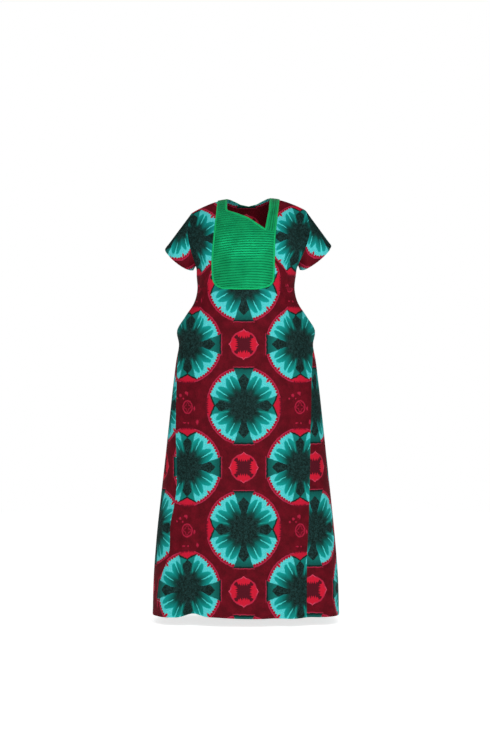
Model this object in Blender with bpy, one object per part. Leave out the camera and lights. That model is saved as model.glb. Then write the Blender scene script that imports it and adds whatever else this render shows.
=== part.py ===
"""A full-length robe with short wide sleeves, flared side panels, pockets in the side seams and
an applied bib with pin-tucks, as its sewn pieces of cloth. Metres, +Z up, the front faces -Y.

Heights are given as drops: distances below the shoulder line, which is at Z = 0.
"""

import math
from collections import namedtuple

import bpy
import numpy as np

# Cloth and seams
CLOTH = 0.0015
BAG_CLOTH = 0.0010
BIB_CLOTH = 0.0012
BINDING_CLOTH = 0.0016
BINDING_CROWN = 0.0007
SEAM_GAP = 0.0003
LAYER_GAP = 0.0010
NECK_CLEARANCE = 0.0014
TUCK_PITCH = 0.0089
TUCK_HEIGHT = 0.0010

# Main levels of the robe
SHOULDER_POINT = 0.200
UNDERARM = 0.232
POCKET_TOP = 0.3735
POCKET_END = 0.4914
GORE_TOP = 0.515
HEM = 1.446
ARCH = 0.130

# Bindings and pocket mouths
BIB_BINDING = 0.0065
NECK_BINDING = 0.0080
MOUTH_FRONT = 0.028
MOUTH_BACK = 0.012

# How the cloth sits: shoulders a little to one side and one a little higher
SHIFT = 0.0095
TILT = 0.022
LEVEL_SHOULDERS = 0.12
LEVEL_BODY = 0.30

# Rows of cells between the main levels, and columns across
NECK_ROWS = 5
ARMHOLE_ROWS = 10
HIP_ROWS = 12
SKIRT_ROWS = 14
LEFT_COLUMNS = 7
FRONT_NECK_COLUMNS = 8
BACK_NECK_COLUMNS = 8
RIGHT_COLUMNS = 8
GORE_COLUMNS = 6
SLEEVE_ROWS = 5

Section = namedtuple("Section", "drop half_width front back roundness")
SECTIONS = (
    Section(0.000, 0.2240, 0.072, 0.080, 2.20),
    Section(0.050, 0.2280, 0.088, 0.098, 2.20),
    Section(0.100, 0.2300, 0.103, 0.112, 2.20),
    Section(0.160, 0.2220, 0.124, 0.118, 2.20),
    Section(0.205, 0.2005, 0.136, 0.117, 2.20),
    Section(0.232, 0.1790, 0.139, 0.114, 2.30),
    Section(0.268, 0.1735, 0.138, 0.110, 2.30),
    Section(0.320, 0.1705, 0.133, 0.106, 2.30),
    Section(0.365, 0.1830, 0.131, 0.112, 2.35),
    Section(0.410, 0.2130, 0.133, 0.122, 2.40),
    Section(0.455, 0.2405, 0.138, 0.132, 2.50),
    Section(0.510, 0.2345, 0.145, 0.140, 2.50),
    Section(0.560, 0.2430, 0.149, 0.145, 2.60),
    Section(0.630, 0.2520, 0.154, 0.150, 2.70),
    Section(0.770, 0.2675, 0.163, 0.160, 2.70),
    Section(0.910, 0.2825, 0.171, 0.170, 2.70),
    Section(1.050, 0.2985, 0.180, 0.180, 2.70),
    Section(1.190, 0.3145, 0.188, 0.190, 2.70),
    Section(1.330, 0.3265, 0.196, 0.198, 2.70),
    Section(1.470, 0.3310, 0.203, 0.206, 2.70),
)

Shoulder = namedtuple("Shoulder", "across drop")
SHOULDER_LINE = (
    Shoulder(0.0000, -0.0040),
    Shoulder(0.0745, -0.0005),
    Shoulder(0.1000, 0.0030),
    Shoulder(0.1250, 0.0095),
    Shoulder(0.1500, 0.0190),
    Shoulder(0.1750, 0.0300),
    Shoulder(0.2000, 0.0440),
    Shoulder(0.2150, 0.0580),
    Shoulder(0.2400, 0.0800),
)

Armhole = namedtuple("Armhole", "drop across")
ARMHOLE = (
    Armhole(0.000, 0.2000),
    Armhole(0.044, 0.2000),
    Armhole(0.086, 0.2105),
    Armhole(0.121, 0.2130),
    Armhole(0.152, 0.2065),
    Armhole(0.196, 0.1925),
    Armhole(0.215, 0.1850),
    Armhole(0.232, 0.1790),
)

Seam = namedtuple("Seam", "drop front_left front_right back")
GORE_SEAMS = (
    Seam(0.515, 0.2350, 0.2350, 0.2350),
    Seam(0.560, 0.2385, 0.2310, 0.2385),
    Seam(0.630, 0.2400, 0.2270, 0.2380),
    Seam(0.770, 0.2435, 0.2235, 0.2350),
    Seam(1.050, 0.2445, 0.2190, 0.2310),
    Seam(1.120, 0.2580, 0.2170, 0.2300),
    Seam(1.240, 0.2660, 0.2125, 0.2290),
    Seam(1.300, 0.2860, 0.2120, 0.2280),
    Seam(1.400, 0.3020, 0.2115, 0.2270),
    Seam(1.470, 0.3080, 0.2115, 0.2260),
)

# Turn runs round the robe: 0 front centre, 1 right side, 2 back centre, -1 left side
Fold = namedtuple("Fold", "turn width depth top lift")
FOLDS = (
    Fold(-0.57, 0.10, 0.012, 1.02, 0.000),
    Fold(-0.30, 0.09, -0.016, 1.00, 0.015),
    Fold(-0.13, 0.08, 0.008, 0.80, 0.004),
    Fold(0.03, 0.09, 0.010, 0.70, 0.000),
    Fold(0.12, 0.06, -0.008, 0.60, 0.001),
    Fold(0.23, 0.07, 0.010, 0.50, 0.000),
    Fold(0.40, 0.08, -0.011, 0.52, 0.002),
    Fold(0.64, 0.09, 0.010, 0.80, 0.001),
    Fold(1.00, 0.12, -0.008, 0.90, 0.003),
    Fold(1.37, 0.10, 0.012, 0.75, 0.000),
    Fold(1.58, 0.08, -0.011, 0.60, 0.004),
    Fold(1.78, 0.09, 0.013, 0.55, 0.000),
    Fold(1.99, 0.10, -0.012, 0.62, 0.005),
    Fold(2.20, 0.09, 0.014, 0.58, 0.000),
    Fold(2.41, 0.08, -0.012, 0.80, 0.004),
    Fold(2.63, 0.10, 0.011, 0.95, 0.000),
    Fold(3.00, 0.12, -0.007, 1.05, 0.002),
)

# Corners of the front neckline, from the left shoulder to the notch and up the right side
Corner = namedtuple("Corner", "across drop")
NECKLINE = (
    Corner(-0.0747, -0.0005),
    Corner(-0.0754, 0.0342),
    Corner(-0.0719, 0.0414),
    Corner(-0.0640, 0.0441),
    Corner(-0.0375, 0.0531),
    Corner(-0.0022, 0.0678),
    Corner(0.0227, 0.0851),
    Corner(0.0411, 0.0979),
    Corner(0.0560, 0.1089),
    Corner(0.0612, 0.0824),
    Corner(0.0694, 0.0415),
    Corner(0.0745, -0.0005),
)
LEFT_CORNER = 2
NOTCH = 8
BACK_NECK_WAY = 0.64

# Outline of the bib, from the left shoulder down, along the bottom and up the right side
BIB_OUTLINE = (
    Corner(-0.1078, 0.0000),
    Corner(-0.1148, 0.0650),
    Corner(-0.1212, 0.1232),
    Corner(-0.1239, 0.1795),
    Corner(-0.1231, 0.2129),
    Corner(-0.1199, 0.2567),
    Corner(-0.1146, 0.2895),
    Corner(-0.1048, 0.3053),
    Corner(-0.0872, 0.3150),
    Corner(-0.0450, 0.3185),
    Corner(-0.0059, 0.3190),
    Corner(0.0599, 0.3150),
    Corner(0.0841, 0.3058),
    Corner(0.0952, 0.2897),
    Corner(0.0965, 0.2679),
    Corner(0.0949, 0.2133),
    Corner(0.0926, 0.1454),
    Corner(0.0973, 0.0900),
    Corner(0.1043, 0.0329),
    Corner(0.1085, 0.0000),
)

# Sleeve hem: its outer tip, its inner end under the arm, its depth and how far its front dips
SLEEVE_TIP = (0.2890, 0.1650)
SLEEVE_INNER = (0.1870, 0.2475)
SLEEVE_HALF_DEPTH = 0.066
SLEEVE_DIP = 0.018

# Pocket bag: rings from the mouth inwards, with their distance from the side of the robe
Bag = namedtuple("Bag", "inset top end half_thickness")
POCKET_BAG = (
    Bag(0.018, 0.382, 0.505, 0.026),
    Bag(0.042, 0.380, 0.555, 0.020),
    Bag(0.072, 0.384, 0.600, 0.012),
    Bag(0.100, 0.400, 0.612, 0.008),
    Bag(0.122, 0.440, 0.595, 0.006),
)
BAG_CLEARANCE = 0.011

FRONT = -1
BACK = 1
MATERIALS = {
    "print_cloth": ((0.20, 0.012, 0.022, 1.0), 0.75),
    "bib_cloth": ((0.010, 0.34, 0.12, 1.0), 0.45),
    "binding_cloth": ((0.020, 0.50, 0.17, 1.0), 0.45),
}


def column(table, name):
    return np.array([getattr(row, name) for row in table])


def smooth(knots, values, at):
    """A smooth curve through a table's values, with level ends."""
    slopes = np.gradient(values, knots)
    at = np.clip(at, knots[0], knots[-1])
    left = np.clip(np.searchsorted(knots, at) - 1, 0, len(knots) - 2)
    span = knots[left + 1] - knots[left]
    t = (at - knots[left]) / span
    from_left = (2 * t**3 - 3 * t**2 + 1) * values[left] + (t**3 - 2 * t**2 + t) * span * slopes[left]
    from_right = (3 * t**2 - 2 * t**3) * values[left + 1] + (t**3 - t**2) * span * slopes[left + 1]
    return from_left + from_right


def step(at, start, end):
    t = np.clip((at - start) / (end - start), 0.0, 1.0)
    return t * t * (3 - 2 * t)


def read(table, key, name, at):
    return smooth(column(table, key), column(table, name), np.asarray(at, float))


def shoulder_drop(across):
    return read(SHOULDER_LINE, "across", "drop", np.abs(across))


def fall(way):
    """How far below the shoulder line the cloth is, and which share of its depth it has reached."""
    over = way < math.pi / 2
    drop = np.where(over, ARCH * (1 - np.cos(way)), ARCH * (1 + way - math.pi / 2))
    return drop, np.where(over, np.sin(way), 1.0)


def way_of(below):
    below = np.maximum(below, 0.0)
    over = below < ARCH
    return np.where(over, np.arccos(1 - np.minimum(below, ARCH) / ARCH), math.pi / 2 + below / ARCH - 1)


def bare_point(face, across, drop):
    """A point of the robe before its folds: face is FRONT or BACK."""
    across = np.asarray(across, float)
    half_width = read(SECTIONS, "drop", "half_width", drop)
    depth = read(SECTIONS, "drop", "front" if face == FRONT else "back", drop)
    power = read(SECTIONS, "drop", "roundness", drop)
    ratio = np.clip(np.abs(across) / half_width, 0.0, 1.0)
    share = fall(way_of(drop - shoulder_drop(across)))[1]
    y = face * depth * (1 - ratio**power) ** (1 / power) * share
    return across, y, ratio, half_width, depth, power


def settle(x, y, drop):
    """The small shift and tilt of the shoulders against the skirt."""
    share = 1 - step(drop, LEVEL_SHOULDERS, LEVEL_BODY)
    return np.stack([x + SHIFT * share, y + 0 * x, -drop + TILT * x * share], axis=-1)


def robe_point(face, across, drop):
    x, y, ratio, half_width, depth, power = bare_point(face, across, drop)
    side = np.where(x < 0, -1.0, 1.0)
    quarter = np.arcsin(ratio ** (power / 2)) / (math.pi / 2)
    turn = side * quarter if face == FRONT else side * (2 - quarter)
    nx = side * ratio ** (power - 1) / half_width
    ny = face * (np.abs(y) / depth) ** (power - 1) / depth
    size = np.hypot(nx, ny) + 1e-12
    offset = 0.0
    lift = 0.0
    for fold in FOLDS:
        apart = (turn - fold.turn + 2) % 4 - 2
        crest = np.exp(-((apart / fold.width) ** 2))
        offset = offset + fold.depth * crest * step(drop, fold.top, HEM + 0.1)
        lift = lift + fold.lift * crest * step(drop, 1.12, HEM)
    return settle(x + offset * nx / size, y + offset * ny / size, drop - lift)


def section_across(face, forward, drop):
    """How far out the section is where its depth is `forward`."""
    half_width = read(SECTIONS, "drop", "half_width", drop)
    depth = read(SECTIONS, "drop", "front" if face == FRONT else "back", drop)
    power = read(SECTIONS, "drop", "roundness", drop)
    return half_width * (1 - (forward / depth) ** power) ** (1 / power)


def edge_across(face, side, drop):
    """The panel's edge: armhole, then side seam with the pocket's mouth, then the gore's seam."""
    if drop <= UNDERARM:
        return float(read(ARMHOLE, "drop", "across", drop))
    if drop <= GORE_TOP:
        rise = np.clip((drop - POCKET_TOP) / (POCKET_END - POCKET_TOP), 0.0, 1.0)
        mouth = MOUTH_FRONT if face == FRONT else MOUTH_BACK
        return float(section_across(face, mouth * math.sin(math.pi * rise), drop))
    name = "back" if face == BACK else ("front_left" if side < 0 else "front_right")
    limit = float(read(SECTIONS, "drop", "half_width", drop))
    return min(float(read(GORE_SEAMS, "drop", name, drop)), limit)


def across_at(face, share, drop):
    """Where a column that lies at this share of the half panel is, at this drop."""
    edge = edge_across(face, share, drop)
    samples = edge * np.sin(np.linspace(0.0, math.pi / 2, 48))
    x, y = bare_point(face, samples, drop)[:2]
    length = np.concatenate([[0.0], np.cumsum(np.hypot(np.diff(x), np.diff(y)))])
    along = float(np.interp(abs(share) * length[-1], length, samples))
    mix = float(step(drop, 0.10, 0.22))
    return math.copysign((1 - mix) * abs(share) * edge + mix * along, share)


def place(face, share, way):
    """Across and drop of a column's point, from its way over the shoulder and down."""
    drop = 0.05
    for _ in range(14):
        line = float(shoulder_drop(across_at(face, share, drop)))
        drop = 0.4 * drop + 0.6 * (line + float(fall(way)[0]))
    return across_at(face, share, drop), drop


def neck_side(corners):
    """One side of the neck as a share and a way for each row from the shoulder down."""
    ways = [float(way_of(c.drop - shoulder_drop(c.across))) for c in corners]
    shares = [c.across / edge_across(FRONT, 1, c.drop) for c in corners]
    rows = np.linspace(0.0, ways[-1], NECK_ROWS + 1)
    return np.interp(rows, ways, shares), rows


def front_columns():
    """Shares and ways of the front panel above the underarm; inside the neck they are not used."""
    left_shares, left_ways = neck_side(NECKLINE[: LEFT_CORNER + 1])
    right_shares, right_ways = neck_side(NECKLINE[: NOTCH - 1 : -1])
    count = LEFT_COLUMNS + FRONT_NECK_COLUMNS + RIGHT_COLUMNS + 1
    shares = np.empty((ARMHOLE_ROWS + 1, count))
    ways = np.empty((ARMHOLE_ROWS + 1, count))
    first, last = LEFT_COLUMNS, LEFT_COLUMNS + FRONT_NECK_COLUMNS
    side_way = float(way_of(UNDERARM - shoulder_drop(edge_across(FRONT, 1, UNDERARM))))
    for r in range(NECK_ROWS + 1):
        side = side_way * r / ARMHOLE_ROWS
        shares[r, : first + 1] = np.linspace(-1.0, left_shares[r], first + 1)
        ways[r, : first + 1] = np.linspace(side, left_ways[r], first + 1)
        shares[r, last:] = np.linspace(right_shares[r], 1.0, RIGHT_COLUMNS + 1)
        ways[r, last:] = np.linspace(right_ways[r], side, RIGHT_COLUMNS + 1)
        shares[r, first : last + 1] = np.linspace(left_shares[r], right_shares[r], last - first + 1)
        ways[r, first : last + 1] = 0.5
    between = NECKLINE[LEFT_CORNER : NOTCH + 1]
    corners = [c.across / edge_across(FRONT, 1, c.drop) for c in between]
    drops = np.interp(shares[NECK_ROWS, first : last + 1], corners, [c.drop for c in between])
    for c in range(first, last + 1):
        across = across_at(FRONT, shares[NECK_ROWS, c], drops[c - first])
        ways[NECK_ROWS, c] = float(way_of(drops[c - first] - shoulder_drop(across)))
    return shares, ways, NECK_ROWS


def back_columns():
    """Shares and ways of the back panel above the underarm, with its shallow neckline."""
    left, right = (NECKLINE[k].across / SHOULDER_POINT for k in (0, -1))
    shares = list(np.linspace(-1.0, left, LEFT_COLUMNS + 1))
    ways = [0.0] * len(shares)
    for k in range(1, BACK_NECK_COLUMNS):
        t = 0.5 - 0.5 * math.cos(math.pi * k / BACK_NECK_COLUMNS)
        shares.append(left + (right - left) * t)
        ways.append(BACK_NECK_WAY * math.sin(math.pi * t) ** 0.8)
    shares += list(np.linspace(right, 1.0, RIGHT_COLUMNS + 1))
    ways += [0.0] * (RIGHT_COLUMNS + 1)
    rows = ARMHOLE_ROWS + 1
    return np.tile(shares, (rows, 1)), np.tile(ways, (rows, 1)), 0


def panel_points(face):
    shares, ways, top = front_columns() if face == FRONT else back_columns()
    rows = ARMHOLE_ROWS + HIP_ROWS + SKIRT_ROWS + 1
    grid = np.empty((rows, shares.shape[1], 3))
    for c in range(shares.shape[1]):
        share = shares[-1, c] = shares[top, c]
        end = float(way_of(UNDERARM - shoulder_drop(across_at(face, share, UNDERARM))))
        for r in range(ARMHOLE_ROWS):
            if r <= top:
                spot = place(face, shares[r, c], ways[r, c])
            else:
                mix = (r - top) / (ARMHOLE_ROWS - top)
                spot = place(face, share, ways[top, c] + (end - ways[top, c]) * mix)
            grid[r, c] = robe_point(face, *spot)
        for r in range(HIP_ROWS):
            drop = UNDERARM + (GORE_TOP - UNDERARM) * r / HIP_ROWS
            grid[ARMHOLE_ROWS + r, c] = robe_point(face, across_at(face, share, drop), drop)
        for r in range(SKIRT_ROWS + 1):
            drop = GORE_TOP + (HEM - GORE_TOP) * r / SKIRT_ROWS
            row = ARMHOLE_ROWS + HIP_ROWS + r
            grid[row, c] = robe_point(face, across_at(face, share, drop), drop)
    return grid


def outside_neck(r, c):
    return r >= NECK_ROWS or c < LEFT_COLUMNS or c >= LEFT_COLUMNS + FRONT_NECK_COLUMNS


def gore_points(side):
    """One side panel, from its point at the hip to the hem, from front seam to back seam."""
    grid = np.empty((SKIRT_ROWS + 1, GORE_COLUMNS + 1, 3))
    for r in range(SKIRT_ROWS + 1):
        drop = GORE_TOP + (HEM - GORE_TOP) * r / SKIRT_ROWS
        half_width = float(read(SECTIONS, "drop", "half_width", drop))
        rows = []
        for face in (FRONT, BACK):
            edge = edge_across(face, side, drop)
            first = math.asin(min(edge / half_width, 1.0))
            out = half_width * np.sin(np.linspace(first, math.pi / 2, 40))
            line = robe_point(face, side * out, np.full(40, drop))
            rows.append(line if face == FRONT else line[::-1])
        line = np.concatenate([rows[0], rows[1][1:]])
        length = np.concatenate([[0.0], np.cumsum(np.linalg.norm(np.diff(line, axis=0), axis=1))])
        for c in range(GORE_COLUMNS + 1):
            at = length[-1] * c / GORE_COLUMNS
            grid[r, c] = [np.interp(at, length, line[:, k]) for k in range(3)]
    return grid


def sleeve_points(side, front_edge, back_edge):
    """The sleeve's rings, from the armhole's own points to the hem."""
    start = np.concatenate([front_edge, back_edge[-2:0:-1]])
    turned = []
    for edge, low, high in ((front_edge, 0.0, math.pi), (back_edge, 2 * math.pi, math.pi)):
        length = np.concatenate([[0.0], np.cumsum(np.linalg.norm(np.diff(edge, axis=0), axis=1))])
        turned.append(low + (high - low) * length / length[-1])
    angles = np.concatenate([turned[0], turned[1][-2:0:-1]])
    tip = np.array([side * SLEEVE_TIP[0], 0.0, -SLEEVE_TIP[1]])
    inner = np.array([side * SLEEVE_INNER[0], 0.0, -SLEEVE_INNER[1]])
    centre = (tip + inner) / 2
    up = (tip - inner) / 2
    out = np.array([side * abs(up[2]), 0.0, -abs(up[0])]) / np.linalg.norm(up)
    forward = np.array([0.0, -SLEEVE_HALF_DEPTH, 0.0]) + SLEEVE_DIP * out
    hem = centre + np.outer(np.cos(angles), up) + np.outer(np.sin(angles), forward)
    hem = settle(hem[:, 0], hem[:, 1], -hem[:, 2])
    share = np.linspace(0.0, 1.0, SLEEVE_ROWS + 1)[:, None, None]
    return start + (hem - start) * share


def bag_points(side, front_edge, back_edge):
    """The pocket bag's rings: the mouth just inside the panels' edges, then the bag itself."""
    inward = np.array([-side * 0.0032, 0.0, 0.0])
    front_edge = front_edge + inward + np.array([0.0, 0.0010, 0.0])
    back_edge = back_edge + inward - np.array([0.0, 0.0010, 0.0])
    mouth = np.concatenate([front_edge, back_edge[-2:0:-1]])
    count = len(mouth)
    rings = [mouth]
    for bag in POCKET_BAG:
        angles = 2 * math.pi * np.arange(count) / count
        drops = (bag.top + bag.end) / 2 - (bag.end - bag.top) / 2 * np.cos(angles)
        x = side * (read(SECTIONS, "drop", "half_width", drops) - bag.inset)
        y = bare_point(FRONT, x, drops)[1] + BAG_CLEARANCE
        y += bag.half_thickness * (1 - np.sin(angles))
        rings.append(np.stack([x, y, -drops], axis=-1))
    return np.array(rings)


def cells_of(rows, columns, closed=False, keep=None):
    """Quads of a grid, row by row; keep(row, column) leaves some out."""
    faces = []
    for r in range(rows - 1):
        for c in range(columns if closed else columns - 1):
            if keep is None or keep(r, c):
                nxt = (c + 1) % columns
                faces.append((r * columns + c, (r + 1) * columns + c, (r + 1) * columns + nxt, r * columns + nxt))
    return faces


def weld(points, faces):
    """Merges points that coincide and drops the faces that collapse."""
    keys = {}
    index = []
    kept = []
    for point in points:
        key = tuple(np.round(point, 6))
        if key not in keys:
            keys[key] = len(kept)
            kept.append(point)
        index.append(keys[key])
    clean = []
    for face in faces:
        face = [index[v] for v in face]
        face = [v for k, v in enumerate(face) if v != face[k - 1]]
        if len(set(face)) >= 3:
            clean.append(tuple(face))
    used = sorted({v for face in clean for v in face})
    place = {v: k for k, v in enumerate(used)}
    return np.array([kept[v] for v in used]), [tuple(place[v] for v in face) for face in clean]


def face_normal(points, face):
    corners = points[list(face)]
    total = np.zeros(3)
    for k in range(1, len(corners) - 1):
        total += np.cross(corners[k] - corners[0], corners[k + 1] - corners[0])
    return total


def flipped(face):
    """The face turned over, still cut along the same diagonal."""
    return (face[0],) + tuple(face[:0:-1])


def turned_out(points, faces, inside):
    """The faces turned, if need be, so that they face away from points inside, one or one each."""
    total = 0.0
    for face, centre in zip(faces, np.broadcast_to(inside, (len(faces), 3))):
        total += float(np.dot(face_normal(points, face), points[list(face)].mean(axis=0) - centre))
    return faces if total > 0 else [flipped(face) for face in faces]


def ring_centres(grid, faces):
    """For each face of a tube, the centre of the ring that it starts from."""
    centres = grid.mean(axis=1)
    return np.array([centres[min(face[0] // grid.shape[1], len(centres) - 1)] for face in faces])


def normal_sums(points, faces):
    sums = np.zeros_like(points)
    for face in faces:
        normal = face_normal(points, face)
        for v in face:
            sums[v] += normal
    return sums


def shared_normals(sheets):
    """One normal for each place, also where pieces meet, save where they meet in a sharp crease."""
    own = {}
    table = {}
    for name, (points, faces) in sheets.items():
        totals = normal_sums(points, faces)
        own[name] = totals / (np.linalg.norm(totals, axis=1, keepdims=True) + 1e-15)
        for point, normal in zip(points, own[name]):
            table.setdefault(tuple(np.round(point, 5)), []).append(normal)
    result = {}
    for name, (points, faces) in sheets.items():
        totals = []
        for point, normal in zip(points, own[name]):
            near = [other for other in table[tuple(np.round(point, 5))] if np.dot(other, normal) > 0.3]
            totals.append(sum(near))
        totals = np.array(totals)
        result[name] = totals / np.linalg.norm(totals, axis=1, keepdims=True)
    return result


def border(faces):
    """The edges that only one face has, in that face's direction."""
    ends = {}
    for number, face in enumerate(faces):
        for k, v in enumerate(face):
            ends[(v, face[(k + 1) % len(face)])] = number
    return [(a, b, number) for (a, b), number in ends.items() if (b, a) not in ends]


def drawn_in(points, faces, normals, gap):
    """The sheet with its border moved into it by half the seam's gap."""
    moves = {}
    for a, b, number in border(faces):
        along = points[b] - points[a]
        inward = np.cross(face_normal(points, faces[number]), along)
        inward /= np.linalg.norm(inward) + 1e-15
        moves.setdefault(a, []).append(inward)
        moves.setdefault(b, []).append(inward)
    moved = points.copy()
    for v, ways in moves.items():
        total = sum(ways)
        spread = max(float(np.dot(total, total)) / 2, 0.02)
        moved[v] = points[v] + total * min(gap / spread, 0.003 / (np.linalg.norm(total) + 1e-9))
    return moved


def wall(name, points, faces, normals, low, high, material):
    """A closed wall of cloth: its inner skin `low` and its outer skin `high` along the normals."""
    count = len(points)
    low = np.broadcast_to(low, (count,))[:, None]
    high = np.broadcast_to(high, (count,))[:, None]
    corners = np.concatenate([points + normals * high, points + normals * low])
    skins = list(faces)
    skins += [tuple(v + count for v in flipped(face)) for face in faces]
    skins += [(b, a, a + count, b + count) for a, b, _ in border(faces)]
    mesh = bpy.data.meshes.new(name)
    mesh.from_pydata([tuple(map(float, corner)) for corner in corners], [], skins)
    mesh.update()
    mesh.shade_smooth()
    mesh.set_sharp_from_angle(angle=math.radians(50))
    mesh.materials.append(material)
    piece = bpy.data.objects.new(name, mesh)
    bpy.context.scene.collection.objects.link(piece)
    return piece


# The chart of the applied pieces: across the chest, and down the cloth from the shoulder line
CHART_ACROSS = 0.09
CHART_WAYS = np.linspace(0.0, 4.2, 600)


def chart_lengths(face):
    line = float(shoulder_drop(CHART_ACROSS))
    drops = line + fall(CHART_WAYS)[0]
    points = np.stack(bare_point(face, np.full(len(drops), CHART_ACROSS), drops)[:2] + (drops,), axis=-1)
    return np.concatenate([[0.0], np.cumsum(np.linalg.norm(np.diff(points, axis=0), axis=1))])


CHART = {FRONT: chart_lengths(FRONT), BACK: chart_lengths(BACK)}


def chart_point(across, along):
    """A point on the robe: along is down the front where it is positive, down the back where not."""
    across = np.asarray(across, float)
    along = np.asarray(along, float)
    result = np.empty(across.shape + (3,))
    for face, here in ((FRONT, along >= 0), (BACK, along < 0)):
        ways = np.interp(np.abs(along), CHART[face], CHART_WAYS)
        drops = shoulder_drop(across) + fall(ways)[0]
        x, y = bare_point(face, across, drops)[:2]
        result = np.where(here[..., None], settle(x, y, drops), result)
    return result


def chart_normals(across, along):
    small = 0.0008
    over = chart_point(across + small, along) - chart_point(across - small, along)
    down = chart_point(across, along + small) - chart_point(across, along - small)
    normals = np.cross(down, over)
    return normals / np.linalg.norm(normals, axis=-1, keepdims=True)


def chart_along(corner):
    way = float(way_of(corner.drop - shoulder_drop(corner.across)))
    return float(np.interp(way, CHART_WAYS, CHART[FRONT]))


def chart_path(corners):
    return np.array([[corner.across, chart_along(corner)] for corner in corners])


def spaced(path, pitch, closed=False):
    """The path with points a pitch apart, its corners kept."""
    points = []
    ends = np.roll(path, -1, axis=0) if closed else path[1:]
    for start, end in zip(path, ends):
        pieces = max(1, round(float(np.linalg.norm(end - start)) / pitch))
        points.extend(start + (end - start) * k / pieces for k in range(pieces))
    return np.array(points if closed else points + [path[-1]])


def rounded(path, pitch):
    """A smooth open curve through the path's points."""
    length = np.concatenate([[0.0], np.cumsum(np.linalg.norm(np.diff(path, axis=0), axis=1))])
    at = np.linspace(0.0, length[-1], max(2, round(length[-1] / pitch)) + 1)
    return np.stack([smooth(length, path[:, k], at) for k in range(2)], axis=-1)


def beside(path, distance, closed=False):
    """The path moved to its left by a distance, with short corners."""
    before = path - np.roll(path, 1, axis=0)
    after = np.roll(path, -1, axis=0) - path
    if not closed:
        before[0] = after[0]
        after[-1] = before[-1]
    ways = []
    for edge in (before, after):
        unit = edge / np.linalg.norm(edge, axis=1, keepdims=True)
        ways.append(np.stack([-unit[:, 1], unit[:, 0]], axis=-1))
    total = ways[0] + ways[1]
    spread = np.maximum((total**2).sum(axis=1, keepdims=True) / 2, 0.9)
    return path + distance * total / spread


def applied(name, across, along, height, material, closed=False, keep=None):
    """A piece that lies on the robe: a grid of chart places, and its height above its underside."""
    rows, columns = across.shape
    points = chart_point(across, along).reshape(-1, 3)
    normals = chart_normals(across, along).reshape(-1, 3)
    faces = cells_of(rows, columns, closed, keep)
    faces = turned_out(points, faces, np.array([0.0, 0.0, -0.2]))
    used = sorted({v for face in faces for v in face})
    place = {v: k for k, v in enumerate(used)}
    faces = [tuple(place[v] for v in face) for face in faces]
    low = LAYER_GAP
    high = LAYER_GAP + height.reshape(-1)[used]
    return wall(name, points[used], faces, normals[used], low, high, material)


def strip(name, inner, outer, material, closed=False):
    """A binding between two edges, a little higher along its middle."""
    shares = np.array([0.0, 0.3, 0.7, 1.0])[:, None]
    across = inner[:, 0] + (outer[:, 0] - inner[:, 0]) * shares
    along = inner[:, 1] + (outer[:, 1] - inner[:, 1]) * shares
    height = BINDING_CLOTH + BINDING_CROWN * np.sin(math.pi * shares) + 0 * across
    return applied(name, across, along, height, material, closed)


def crossing(path, along):
    """Where a path crosses this distance down the cloth, leftmost and rightmost."""
    found = []
    for start, end in zip(path, path[1:]):
        if (start[1] - along) * (end[1] - along) <= 0 and start[1] != end[1]:
            found.append(start[0] + (end[0] - start[0]) * (along - start[1]) / (end[1] - start[1]))
    return min(found), max(found)


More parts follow.
